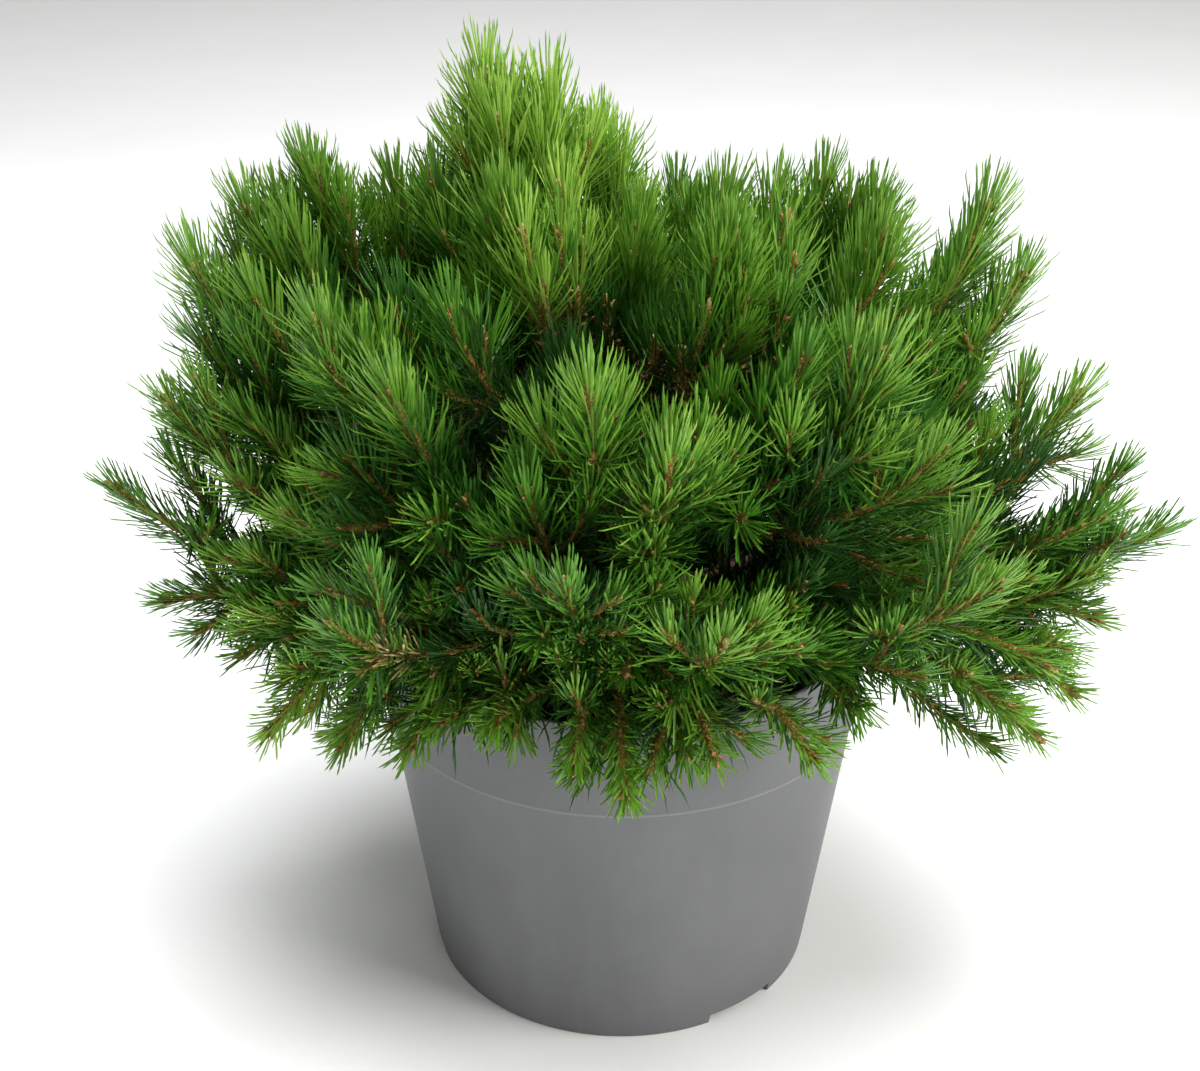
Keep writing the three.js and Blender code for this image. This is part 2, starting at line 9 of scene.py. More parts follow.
# %% The construction frame
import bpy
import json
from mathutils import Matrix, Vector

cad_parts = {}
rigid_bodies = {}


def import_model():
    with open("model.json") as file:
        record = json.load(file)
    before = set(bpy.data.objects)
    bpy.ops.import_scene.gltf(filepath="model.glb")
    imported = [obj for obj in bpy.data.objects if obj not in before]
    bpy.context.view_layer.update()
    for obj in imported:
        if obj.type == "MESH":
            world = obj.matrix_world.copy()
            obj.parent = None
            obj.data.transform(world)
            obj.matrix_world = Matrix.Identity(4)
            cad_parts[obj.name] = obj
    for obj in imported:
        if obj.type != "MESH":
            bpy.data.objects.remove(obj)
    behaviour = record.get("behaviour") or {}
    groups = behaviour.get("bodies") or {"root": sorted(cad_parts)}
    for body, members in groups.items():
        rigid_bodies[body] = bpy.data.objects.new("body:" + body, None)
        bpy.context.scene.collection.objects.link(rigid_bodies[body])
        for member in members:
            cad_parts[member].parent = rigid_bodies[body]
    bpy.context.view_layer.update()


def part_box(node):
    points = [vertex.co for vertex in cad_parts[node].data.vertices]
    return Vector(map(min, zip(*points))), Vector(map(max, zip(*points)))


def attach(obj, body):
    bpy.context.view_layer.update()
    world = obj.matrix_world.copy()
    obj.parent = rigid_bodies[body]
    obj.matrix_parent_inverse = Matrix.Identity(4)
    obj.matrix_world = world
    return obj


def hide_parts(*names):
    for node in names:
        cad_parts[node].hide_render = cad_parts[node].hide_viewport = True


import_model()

# %% Libraries and units
import json
import math

import bpy
import numpy as np
from mathutils import Vector, noise

METRES = 0.001
UP = np.array([0.0, 0.0, 1.0])
SEED = 7
# Keeps a length that is divided by from being nothing.
TINY = 1e-9


def radians(degrees):
    return np.radians(degrees)


def mix(a, b, t):
    return a + (b - a) * t


def share(value, low, high):
    return np.clip((value - low) / (high - low), 0.0, 1.0)


def unit(vectors):
    return vectors / np.maximum(np.linalg.norm(vectors, axis=-1, keepdims=True), TINY)


def towards(bearing, rise):
    """The direction at a bearing from +X towards +Y and a rise above the level, in degrees."""
    flat = np.cos(radians(rise))
    turn = radians(bearing)
    return np.stack([flat * np.cos(turn), flat * np.sin(turn), np.sin(radians(rise))], -1)


print("lengths are made in millimetres and scaled by", METRES)

# %% [markdown]
# ## Camera
# The plant is seen from the front and above, as by someone who bends down to it: the camera is 0.71 m
# above the floor and looks down by 26 degrees. A 54 mm lens on a 36 mm sensor is a normal, slightly long
# view, which keeps the pot's sides from leaning too much. Depth of field stays off, so every needle is
# sharp.

# %% Camera
CAMERA_PLACE = (-0.0127, -0.915, 0.712)
CAMERA_PITCH = 26.1
LENS = 54.27
SENSOR = 36

camera = bpy.data.objects.new("camera", bpy.data.cameras.new("camera"))
bpy.context.scene.collection.objects.link(camera)
camera.data.lens = LENS
camera.data.sensor_width = SENSOR
camera.location = CAMERA_PLACE
camera.rotation_euler = (math.radians(90 - CAMERA_PITCH), 0, 0)
bpy.context.scene.camera = camera
print("camera looks down by", CAMERA_PITCH, "degrees through a", LENS, "mm lens")

# %% [markdown]
# ## Light
# A studio for plants is lit softly: a big softbox high on the right is the key, and a wide one overhead
# keeps the top of the crown bright. A weak low one in front opens the shade under the crown, another
# brightens the floor behind the plant, and the pale room gives back the rest. Large lamps give soft
# shadows, and the gaps between the brushes still go dark, because a crown of needles swallows the light by
# itself; the needles of shoots set back in the crown also carry painted shade.

# %% Lamps and room
CROWN_MIDDLE = (0, 0, 0.3)
FAR_FLOOR = (0, 4.4, 0)
WARM = (1.0, 0.98, 0.94)
NEUTRAL = (1.0, 0.99, 0.96)
COOL = (0.98, 0.99, 1.0)
ROOM_COLOUR = (1.0, 0.995, 0.98, 1)
ROOM_STRENGTH = 0.28
# Each softbox has its place, aim, width and height in metres, its power in watts, its colour and its
# spread in degrees.
SOFTBOXES = {
    "key_softbox": ((3.0, -1.1, 2.2), CROWN_MIDDLE, (2.3, 2.3), 122, WARM, 180),
    "top_softbox": ((0.2, 0.1, 3.4), CROWN_MIDDLE, (2.6, 2.6), 80, COOL, 120),
    "fill_softbox": ((0.9, -3.0, 0.6), CROWN_MIDDLE, (2.6, 1.0), 21, NEUTRAL, 180),
    "back_softbox": ((0.0, 4.4, 2.8), FAR_FLOOR, (5.5, 3.0), 24, COOL, 160),
}

for name, (place, aim, size, power, colour, spread) in SOFTBOXES.items():
    lamp = bpy.data.objects.new(name, bpy.data.lights.new(name, "AREA"))
    bpy.context.scene.collection.objects.link(lamp)
    lamp.data.shape = "RECTANGLE"
    lamp.data.size, lamp.data.size_y = size
    lamp.data.energy = power
    lamp.data.color = colour
    lamp.data.spread = math.radians(spread)
    lamp.location = place
    lamp.rotation_euler = (Vector(aim) - Vector(place)).to_track_quat("-Z", "Y").to_euler()

world = bpy.data.worlds.new("pale_room")
bpy.context.scene.world = world
world.use_nodes = True
world.node_tree.nodes["Background"].inputs["Color"].default_value = ROOM_COLOUR
world.node_tree.nodes["Background"].inputs["Strength"].default_value = ROOM_STRENGTH
bpy.context.scene.view_settings.view_transform = "Standard"
print("lamps:", list(SOFTBOXES))

# %% [markdown]
# ## Building materials from nodes
# Every finish is a small graph of nodes that ends in the Principled shader. One helper adds a node, sets
# its sockets and links what feeds it. Colours are written as the hex values one sees and turned to the
# linear light that a renderer works in. A pattern's scale is worked out from the size of its grain.


# %% Colours and nodes
def linear(hex_colour):
    """An sRGB hex colour as linear red, green, blue and alpha, by the sRGB curve and its straight foot."""
    parts = [int(hex_colour[i : i + 2], 16) / 255 for i in (1, 3, 5)]
    return [p / 12.92 if p <= 0.04045 else ((p + 0.055) / 1.055) ** 2.4 for p in parts] + [1.0]


def add_node(material, kind, settings=None, links=None):
    """Adds a node and gives its outputs.

    settings are its attributes and its sockets' values, and links are the outputs that feed its sockets."""
    tree = material.node_tree
    node = tree.nodes.new(kind)
    attributes = {k: v for k, v in (settings or {}).items() if isinstance(k, str) and hasattr(node, k)}
    for key, value in attributes.items():
        setattr(node, key, value)
    for key, value in (settings or {}).items():
        if key not in attributes:
            node.inputs[key].default_value = value
    for key, output in (links or {}).items():
        tree.links.new(output, node.inputs[key])
    return node.outputs


print("hex #808080 in linear light:", round(linear("#808080")[0], 3))

# %% [markdown]
# Most natural surfaces are two colours that change over in grains: a noise in the object's own coordinates,
# its contrast drawn out, and a mix of the two colours by it. The finish ends in the Principled shader, with
# a bump where the grain can be felt.


# %% Helpers for finishes
# A Mix node has sockets for every kind of value, so those for colours are found by their numbers.
MIX_FACTOR, MIX_LOW, MIX_HIGH, MIXED = 0, 6, 7, 2


def per_mm(size):
    """The texture scale at which a pattern's grain is that many millimetres."""
    return 1.0 / (size * METRES)


def new_material(name):
    """An empty material, and the object's own coordinates to set its patterns by."""
    material = bpy.data.materials.new(name)
    material.use_nodes = True
    material.node_tree.nodes.clear()
    return material, add_node(material, "ShaderNodeTexCoord")["Object"]


def mottled(material, place, grain_mm, grain, contrast, colours):
    """Two hex colours that change over in grains, and the noise they follow.

    grain gives the noise's own settings, and contrast where the noise leaves the first colour and where it
    reaches the second."""
    settings = {"Scale": per_mm(grain_mm), **grain}
    grains = add_node(material, "ShaderNodeTexNoise", settings, {"Vector": place})["Fac"]
    settings = {"From Min": contrast[0], "From Max": contrast[1]}
    factor = add_node(material, "ShaderNodeMapRange", settings, {"Value": grains})["Result"]
    settings = {"data_type": "RGBA", MIX_LOW: linear(colours[0]), MIX_HIGH: linear(colours[1])}
    return add_node(material, "ShaderNodeMix", settings, {MIX_FACTOR: factor})[MIXED], grains


def finish_surface(material, settings, links, relief=None, depth_mm=0.0):
    """The Principled shader with its bump and the material's output."""
    if relief is not None:
        bump_settings = {"Strength": 1.0, "Distance": depth_mm * METRES}
        bump = add_node(material, "ShaderNodeBump", bump_settings, {"Height": relief})
        links = {**links, "Normal": bump["Normal"]}
    shader = add_node(material, "ShaderNodeBsdfPrincipled", settings, links)
    add_node(material, "ShaderNodeOutputMaterial", {}, {"Surface": shader["BSDF"]})
    return material


print("a grain of 1 mm has the texture scale", per_mm(1))

# %% [markdown]
# ## Turning arrays into pieces
# A crown has tens of thousands of needles, so the meshes are worked out as arrays of points and faces and
# handed to Blender in one go. Faces with the same number of corners travel together. Each piece rides on
# the plant's one body, and the construction nodes that it stands for are hidden.


# %% Helpers for meshes
def make_piece(name, points, faces, material, slot, stands_for=(), smooth=True):
    """A piece from its points in millimetres and a list of face arrays, each with one row per face."""
    mesh = bpy.data.meshes.new(name)
    corners = np.concatenate([f.ravel() for f in faces]).astype(np.int32)
    sizes = np.concatenate([np.full(len(f), f.shape[1]) for f in faces])
    starts = np.concatenate([[0], np.cumsum(sizes)[:-1]]).astype(np.int32)
    mesh.vertices.add(len(points))
    mesh.vertices.foreach_set("co", (np.asarray(points) * METRES).astype(np.float32).ravel())
    mesh.loops.add(len(corners))
    mesh.loops.foreach_set("vertex_index", corners)
    mesh.polygons.add(len(sizes))
    mesh.polygons.foreach_set("loop_start", starts)
    mesh.polygons.foreach_set("use_smooth", np.full(len(sizes), smooth))
    mesh.update(calc_edges=True)
    mesh.materials.append(material)
    piece = bpy.data.objects.new(name, mesh)
    bpy.context.scene.collection.objects.link(piece)
    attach(piece, "root")
    if stands_for:
        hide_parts(*stands_for)
    print(f"{name}: {int((sizes - 2).sum())} triangles")


def join(parts):
    """Several (points, faces) as one, with the faces of three and of four corners kept apart."""
    points, by_size, count = [], {}, 0
    for part_points, part_faces in parts:
        for rows in part_faces:
            by_size.setdefault(rows.shape[1], []).append(rows + count)
        points.append(part_points)
        count += len(part_points)
    return np.concatenate(points), [np.concatenate(rows) for rows in by_size.values()]


def copies(faces, count, points_each):
    """The faces of many equal forms, each with its own points."""
    offsets = (np.arange(count) * points_each)[:, None, None]
    return (faces[None] + offsets).reshape(-1, faces.shape[1])


def tube_faces(rings, sides):
    """The quads between rings of points, and a fan at each end to one of the two points after the rings."""
    ring, side = np.meshgrid(np.arange(rings - 1), np.arange(sides), indexing="ij")
    start, after = ring * sides, (side + 1) % sides
    corners = [start + side, start + after, start + sides + after, start + sides + side]
    quads = np.stack(corners, -1).reshape(-1, 4)
    around = np.arange(sides)
    after, last = (around + 1) % sides, (rings - 1) * sides
    low_fan = np.stack([after, around, np.full(sides, rings * sides)], -1)
    high_fan = np.stack([last + around, last + after, np.full(sides, rings * sides + 1)], -1)
    return [quads, low_fan, high_fan]


print("a tube of 3 rings and 6 sides has", sum(len(rows) for rows in tube_faces(3, 6)), "faces")

# %% [markdown]
# ## The pot
# The pot is a ten-litre nursery pot, injection-moulded from grey polypropylene. A lathe is the way to model
# it: one outline turned round the axis. The outline has the moulded details that catch the light: the small
# ledge where the collar starts, the rounded rim, and the foot ring with its drainage channel. The three
# notches in the foot ring are made by lifting the ring's points there, with a column of points on each edge
# so that the notch's sides stand upright.

# %% Pot sizes
RIM_RADIUS, _, POT_HEIGHT = np.array(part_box("pot")[1]) / METRES
BASE_RADIUS = 113
COLLAR_HEIGHT = 168
COLLAR_RADIUS = 137.4
COLLAR_STEP = 1.3
COLLAR_BEAD = 0.25
BEAD_HEIGHT = 0.8
WALL = 2
FLOOR_PLATE = 2.5
CHANNEL_RISE = 6.5
CHANNEL_INNER = 84
CHANNEL_OUTER = 104
CHANNEL_SLOPE = 2
FOOT_CHAMFER = 0.6
RAISED_INSET = 1.2
OVER_NOTCH = 1
LEDGE_UNDER, LEDGE_OVER = 1.0, 2
RIM_BAND = 2.2
LIP = 0.4
LIP_DEPTH = 4
NOTCH_BEARINGS = (-52, 68, 188)
NOTCH_SPAN = 23
NOTCH_EDGE = 0.25
POT_COLUMNS = 180
RAISED = CHANNEL_RISE + FLOOR_PLATE


def pot_radius(z):
    """The radius of the outer wall at a height."""
    plain = mix(BASE_RADIUS, COLLAR_RADIUS - COLLAR_STEP, z / COLLAR_HEIGHT)
    collar = mix(COLLAR_RADIUS, RIM_RADIUS, (z - COLLAR_HEIGHT) / (POT_HEIGHT - COLLAR_HEIGHT))
    return np.where(np.asarray(z) < COLLAR_HEIGHT, plain, collar)


print(f"pot: {POT_HEIGHT:.0f} mm high, {2 * RIM_RADIUS:.0f} mm across the rim, {2 * BASE_RADIUS} mm below")


# %% Curves and rounded corners
def bezier(start, bend, end, steps):
    """Points on a curve that leaves its start towards the bend and reaches its end from there."""
    t = np.linspace(0, 1, steps + 1)[:, None]
    return (1 - t) ** 2 * start + 2 * t * (1 - t) * bend + t**2 * end


def rounded_outline(corners, steps=3):
    """An outline from (radius, height, rounding) corners."""
    places = np.array([corner[:2] for corner in corners], float)
    points = [places[:1]]
    for before, here, after, corner in zip(places, places[1:], places[2:], corners[1:]):
        if corner[2]:
            start = here + unit(before - here) * corner[2]
            end = here + unit(after - here) * corner[2]
            points.append(bezier(start, here, end, steps))
        else:
            points.append(here[None])
    points.append(places[-1:])
    return np.concatenate(points)


print("a rounded corner has", len(rounded_outline([(0, 0, 0), (5, 0, 1), (5, 5, 0)])) - 2, "points")

# %% Pot outline
CHANNEL_ROUND, FOOT_ROUND, LEDGE_ROUND, BEAD_ROUND, RIM_ROUND = 0.8, 0.5, 0.6, 0.3, 1.0


def on_wall(z, rounding, inwards=0):
    """An outline's corner on the outer wall, or inwards from it."""
    return float(pot_radius(z)) - inwards, z, rounding


pot_outline = rounded_outline(
    [
        # The underside with its drainage channel, and the foot ring.
        (0, 0, 0),
        (CHANNEL_INNER, 0, CHANNEL_ROUND),
        (CHANNEL_INNER + CHANNEL_SLOPE, CHANNEL_RISE, CHANNEL_ROUND),
        (CHANNEL_OUTER, CHANNEL_RISE, CHANNEL_ROUND),
        (CHANNEL_OUTER + CHANNEL_SLOPE, 0, CHANNEL_ROUND),
        (BASE_RADIUS - FOOT_CHAMFER, 0, FOOT_ROUND),
        (BASE_RADIUS, 2 * FOOT_CHAMFER, FOOT_ROUND),
        # The outer wall, the ledge with its bead, the collar and the rim.
        on_wall(CHANNEL_RISE + OVER_NOTCH, 0),
        on_wall(CHANNEL_RISE + 2 * OVER_NOTCH, 0),
        on_wall(COLLAR_HEIGHT - LEDGE_UNDER, LEDGE_ROUND),
        (COLLAR_RADIUS + COLLAR_BEAD, COLLAR_HEIGHT, BEAD_ROUND),
        (COLLAR_RADIUS + COLLAR_BEAD, COLLAR_HEIGHT + BEAD_HEIGHT, BEAD_ROUND),
        on_wall(COLLAR_HEIGHT + LEDGE_OVER, LEDGE_ROUND),
        (RIM_RADIUS, POT_HEIGHT - RIM_BAND, RIM_ROUND),
        (RIM_RADIUS, POT_HEIGHT, RIM_ROUND),
        # The inside, down to the floor plate, which is raised over the channel.
        (RIM_RADIUS - WALL - LIP, POT_HEIGHT, RIM_ROUND),
        (RIM_RADIUS - WALL - 1.5 * LIP, POT_HEIGHT - LIP_DEPTH, RIM_ROUND),
        (COLLAR_RADIUS - COLLAR_STEP - WALL, COLLAR_HEIGHT, RIM_ROUND),
        on_wall(RAISED, 1.5 * RIM_ROUND, WALL),
        (CHANNEL_INNER - RAISED_INSET, RAISED, RIM_ROUND),
        (CHANNEL_INNER - FLOOR_PLATE, FLOOR_PLATE, RIM_ROUND),
        (0, FLOOR_PLATE, 0),
    ]
)
print("pot outline:", len(pot_outline), "points")


# %% Pot mesh
def turned(outline, bearings):
    """An outline that starts and ends on the axis, turned round it, with one point at each end."""
    inner = outline[1:-1]
    circle = np.stack([np.cos(radians(bearings)), np.sin(radians(bearings))], -1)
    heights = np.repeat(inner[:, 1:], len(bearings), axis=1)[..., None]
    rings = np.concatenate([inner[:, None, :1] * circle[None], heights], -1)
    points = np.concatenate([rings.reshape(-1, 3), [[0, 0, outline[0, 1]], [0, 0, outline[-1, 1]]]])
    return points, tube_faces(len(inner), len(bearings))


half_spans = [side * (NOTCH_SPAN / 2 + shift) for side in (-1, 1) for shift in (0, NOTCH_EDGE)]
edges = [(bearing + half_span) % 360 for bearing in NOTCH_BEARINGS for half_span in half_spans]
pot_bearings = np.concatenate([np.arange(0, 360, 360 / POT_COLUMNS), edges])
pot_bearings = np.unique(np.round(pot_bearings, 4))
pot_points, pot_faces = turned(pot_outline, pot_bearings)
print("pot mesh:", len(pot_points), "points in", len(pot_bearings), "columns")

# %% Notches in the foot ring
RING_MARGIN = 1
HAIR = 1e-3

from_axis = np.hypot(pot_points[:, 0], pot_points[:, 1])
bearing_of = np.degrees(np.arctan2(pot_points[:, 1], pot_points[:, 0]))
in_ring = (from_axis > CHANNEL_OUTER - RING_MARGIN) & (pot_points[:, 2] < CHANNEL_RISE)
for notch in NOTCH_BEARINGS:
    beside = np.abs((bearing_of - notch + 180) % 360 - 180)
    pot_points[in_ring & (beside <= NOTCH_SPAN / 2 + HAIR), 2] = CHANNEL_RISE

# The outer wall follows its own slope where a notch has lifted it.
lifted = in_ring & (pot_points[:, 2] == CHANNEL_RISE) & (from_axis > BASE_RADIUS - RING_MARGIN)
wall_factor = pot_radius(pot_points[lifted, 2]) / from_axis[lifted]
pot_points[lifted, :2] *= wall_factor[:, None]
print("notches at", NOTCH_BEARINGS, "degrees, points lifted:", int(lifted.sum()))

# %% [markdown]
# Polypropylene comes out of the mould with a fine matt grain, and a pot that has been watered and handled
# shows it: a thin film of dust and lime that is a little paler in patches, faint streaks where water ran
# down, and a paler line on the collar's ledge, which is dust and a painted highlight. A plastic like this
# has an index of refraction near 1.49, and a matt one a roughness around 0.5. The mould's grain is about
# half a millimetre. It is drawn at nearly one, so that it still shows.

# %% Moulded grey polypropylene
FILM_MM = 90
STREAK_MM = 14
STREAK_STRETCH = 10
MOULD_GRAIN_MM = 0.9
LEDGE_MIDDLE = COLLAR_HEIGHT + 0.6
# How strongly the ledge's dust and painted highlight pale the plastic.
LEDGE_DUST_AND_HIGHLIGHT = 0.28


def moulded_polypropylene():
    material, place = new_material("moulded_grey_polypropylene")
    settings = {"Scale": per_mm(FILM_MM), "Detail": 4.0, "Roughness": 0.55}
    film = add_node(material, "ShaderNodeTexNoise", settings, {"Vector": place})
    settings = {"From Min": 0.35, "From Max": 0.75}
    dust = add_node(material, "ShaderNodeMapRange", settings, {"Value": film["Fac"]})

    settings = {"Scale": (1, 1, 1 / STREAK_STRETCH)}
    drawn_out = add_node(material, "ShaderNodeMapping", settings, {"Vector": place})
    settings = {"Scale": per_mm(STREAK_MM), "Detail": 3.0}
    streaks = add_node(material, "ShaderNodeTexNoise", settings, {"Vector": drawn_out["Vector"]})
    settings = {"From Min": 0.45, "From Max": 0.8, "To Max": 0.35}
    run = add_node(material, "ShaderNodeMapRange", settings, {"Value": streaks["Fac"]})

    settings = {"operation": "ADD", "use_clamp": True}
    links = {0: dust["Result"], 1: run["Result"]}
    dusty = add_node(material, "ShaderNodeMath", settings, links)["Value"]
    settings = {"data_type": "RGBA", MIX_LOW: linear("#58595b"), MIX_HIGH: linear("#666769")}
    plastic = add_node(material, "ShaderNodeMix", settings, {MIX_FACTOR: dusty})
    dull = add_node(material, "ShaderNodeMapRange", {"To Min": 0.44, "To Max": 0.6}, {"Value": dusty})

    # A paler band within a millimetre of the ledge's middle: dust that stays on the collar's ledge, and a
    # painted highlight along it.
    height = add_node(material, "ShaderNodeSeparateXYZ", {}, {0: place})["Z"]
    settings = {"operation": "SUBTRACT", 1: LEDGE_MIDDLE * METRES}
    above = add_node(material, "ShaderNodeMath", settings, {0: height})
    apart = add_node(material, "ShaderNodeMath", {"operation": "ABSOLUTE"}, {0: above["Value"]})
    settings = {"From Min": 0.5 * METRES, "From Max": METRES, "To Min": LEDGE_DUST_AND_HIGHLIGHT, "To Max": 0.0}
    ledge_dust_and_highlight = add_node(material, "ShaderNodeMapRange", settings, {"Value": apart["Value"]})
    settings = {"data_type": "RGBA", MIX_HIGH: linear("#97989a")}
    links = {MIX_FACTOR: ledge_dust_and_highlight["Result"], MIX_LOW: plastic[MIXED]}
    dusted_and_highlit = add_node(material, "ShaderNodeMix", settings, links)

    settings = {"Scale": per_mm(MOULD_GRAIN_MM), "Detail": 2.0}
    grain = add_node(material, "ShaderNodeTexNoise", settings, {"Vector": place})
    looks = {"Base Color": dusted_and_highlit[MIXED], "Roughness": dull["Result"]}
    return finish_surface(material, {"IOR": 1.49}, looks, grain["Fac"], depth_mm=0.12)


pot_plastic = moulded_polypropylene()
make_piece("nursery_pot", pot_points, pot_faces, pot_plastic, "pot_plastic", ["pot"])

# %% [markdown]
# ## The soil
# Potting soil for conifers is peat with composted bark. Its top has settled below the rim, is lumpy, and
# rises a little round the stem. A turned body with a rough top gives the mass of it, and loose crumbs and
# bark chips on the top give the scale. They are eight-sided lumps with their corners pushed about.

# %% Soil sizes
SOIL_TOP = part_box("soil")[1].z / METRES
SETTLED = 4
STEM_RISE, STEM_RISE_REACH = 3.0, 34
WAVE, WAVE_LENGTH, WAVE_SLICE = 1.8, 45, 3.1
LUMP, LUMP_LENGTH, LUMP_SLICE = 2.2, 9, 8.7
# A fractal noise's fall-off, the ratio of its scales and how many of them it has.
FRACTAL = (1.0, 2.0, 3)
SOIL_RINGS = 34
SOIL_COLUMNS = 120
WALL_GAP = 1.5
SHOULDER_GAP = 1
LOW_WALL_GAP = 3
FLOOR_GAP = 0.3
CHANNEL_GAP = 2
BELOW_COLLAR = 6
soil_wall = float(pot_radius(SOIL_TOP)) - COLLAR_STEP - WALL - WALL_GAP


def soil_height(x, y):
    """The height of the soil's surface at a place: low waves, lumps and a rise round the stem."""
    rise = STEM_RISE * math.exp(-((math.hypot(x, y) / STEM_RISE_REACH) ** 2))
    waves = WAVE * noise.noise(Vector((x / WAVE_LENGTH, y / WAVE_LENGTH, WAVE_SLICE)))
    lumps = LUMP * noise.fractal(Vector((x / LUMP_LENGTH, y / LUMP_LENGTH, LUMP_SLICE)), *FRACTAL)
    return SOIL_TOP - SETTLED + rise + waves + lumps


print(f"soil: top at {SOIL_TOP:.0f} mm, {2 * soil_wall:.0f} mm across")

# %% Soil mesh
soil_low = FLOOR_PLATE + FLOOR_GAP
soil_shoulder = RAISED + FLOOR_GAP
soil_side = [
    (0, soil_low),
    (CHANNEL_INNER - 2 * CHANNEL_GAP, soil_low),
    (CHANNEL_INNER - CHANNEL_GAP, soil_shoulder),
    (float(pot_radius(RAISED)) - WALL - SHOULDER_GAP, soil_shoulder),
    (soil_wall - LOW_WALL_GAP, COLLAR_HEIGHT - BELOW_COLLAR),
]
soil_face = [(soil_wall * math.sqrt(1 - i / SOIL_RINGS), SOIL_TOP) for i in range(SOIL_RINGS)]
soil_outline = np.array([*soil_side, *soil_face, (0, SOIL_TOP)])
soil_points, soil_faces = turned(soil_outline, np.arange(0, 360, 360 / SOIL_COLUMNS))
for i in np.flatnonzero(soil_points[:, 2] > SOIL_TOP - 1):
    soil_points[i, 2] = soil_height(soil_points[i, 0], soil_points[i, 1])
print("soil body:", len(soil_points), "points")

# %% Crumbs and bark chips
CRUMBS = 520
# The power makes most crumbs small.
SMALLEST_CRUMB, CRUMB_RANGE, MOSTLY_SMALL = 1.0, 4.0, 3
# The share of the soil's top that lies further in than a crumb, and the crumb's own turn in radians.
CRUMB_SPREAD = (0.02, 1)
CRUMB_TURN = (0, 6.3)
CRUMB_UNEVEN = (0.6, 1.25)
CRUMB_WIDTH = 0.7
CRUMB_FLATNESS = (0.35, 0.8)
CRUMB_STANDS_OUT = 0.2
CRUMB_WALL_GAP = 4
CRUMB_CORNERS = np.array([[1, 0, 0], [0, 1, 0], [-1, 0, 0], [0, -1, 0], [0, 0, 1], [0, 0, -1]], float)
CRUMB_FACES = np.array(
    [[0, 1, 4], [1, 2, 4], [2, 3, 4], [3, 0, 4], [1, 0, 5], [2, 1, 5], [3, 2, 5], [0, 3, 5]]
)
random = np.random.default_rng(SEED)


def crumb(place, size, flatness, turn):
    """An eight-faced lump with uneven corners."""
    uneven = random.uniform(*CRUMB_UNEVEN, (len(CRUMB_CORNERS), 1))
    corners = CRUMB_CORNERS * (uneven * np.array([size, size * CRUMB_WIDTH, size * flatness]))
    cos, sin = math.cos(turn), math.sin(turn)
    return corners @ np.array([[cos, sin, 0], [-sin, cos, 0], [0, 0, 1]]) + place, [CRUMB_FACES]


crumbs = []
for _ in range(CRUMBS):
    radius = (soil_wall - CRUMB_WALL_GAP) * math.sqrt(random.uniform(*CRUMB_SPREAD))
    bearing = random.uniform(0, 2 * math.pi)
    x, y = radius * math.cos(bearing), radius * math.sin(bearing)
    size = SMALLEST_CRUMB + CRUMB_RANGE * random.random() ** MOSTLY_SMALL
    place = np.array([x, y, soil_height(x, y) + CRUMB_STANDS_OUT * size])
    flatness, turn = random.uniform(*CRUMB_FLATNESS), random.uniform(*CRUMB_TURN)
    crumbs.append(crumb(place, size, flatness, turn))
print("crumbs:", len(crumbs))

# %% [markdown]
# Damp peat is nearly black-brown, and the bark in it is a warmer, lighter brown. Both are fully rough. The
# noise mixes the two in grains of 5 mm, and a finer one gives the crumbly relief.

# %% Peat and composted bark
PEAT_GRAIN_MM = 5
CRUMBLE_MM = 1.6


def damp_peat(name, dark, light):
    material, place = new_material(name)
    settings = {"Scale": per_mm(CRUMBLE_MM), "Detail": 4.0}
    fine = add_node(material, "ShaderNodeTexNoise", settings, {"Vector": place})
    grain = {"Detail": 6.0, "Roughness": 0.7}
    colour, _ = mottled(material, place, PEAT_GRAIN_MM, grain, contrast=(0.42, 0.68), colours=(dark, light))
    rough = {"Roughness": 0.95, "IOR": 1.4}
    return finish_surface(material, rough, {"Base Color": colour}, fine["Fac"], depth_mm=0.8)


peat = damp_peat("damp_peat", "#1c130d", "#4a3423")
composted_bark = damp_peat("composted_bark", "#3a2618", "#7d5a3c")
make_piece("soil_surface", soil_points, soil_faces, peat, "potting_soil", ["soil"])
make_piece("soil_crumbs", *join(crumbs), composted_bark, "potting_soil", smooth=False)

# %% [markdown]
# ## The rule of growth
# The crown grows along lines that leave its centre and bend up as they go out, because every shoot turns to
# the light. The rule is simplest in a plain space, where those lines are straight: `grown` bends a point of
# plain space to where it really is, and `plain_of` undoes it.

# %% Lines of growth
CENTRE = np.array([0.0, 0.0, 262.0])
# How strongly every line turns up as it goes out, and how much more one does that rises already.
BEND = 0.0015
BEND_MORE = 0.0052
ONE_STEP_ON = 1.01


def grown(plain):
    away = np.hypot(plain[..., 0], plain[..., 1])
    height = plain[..., 2] * (1 + BEND_MORE * away) + BEND * away**2
    return np.stack([plain[..., 0], plain[..., 1], height], -1) + CENTRE


def plain_of(point):
    x, y, z = np.moveaxis(point - CENTRE, -1, 0)
    away = np.hypot(x, y)
    return np.stack([x, y, (z - BEND * away**2) / (1 + BEND_MORE * away)], -1)


def growth_at(point):
    """The way that the line of growth through a point runs there."""
    return unit(grown(plain_of(point) * ONE_STEP_ON) - point)


print("growth turns up by the crown's side to", np.round(growth_at(CENTRE + np.array([250.0, 0, 60])), 2))

# %% [markdown]
# Nothing of the plant may run into the pot, and whatever grows out over it has to clear its rim. What
# differs from shoot to shoot is drawn from a fixed hash of the shoot's number, so the plant is the same one
# each time it is grown.

# %% Keeping clear of the pot, and repeatable chance
RIM_CLEARANCE = 2
OVER_RIM = 14
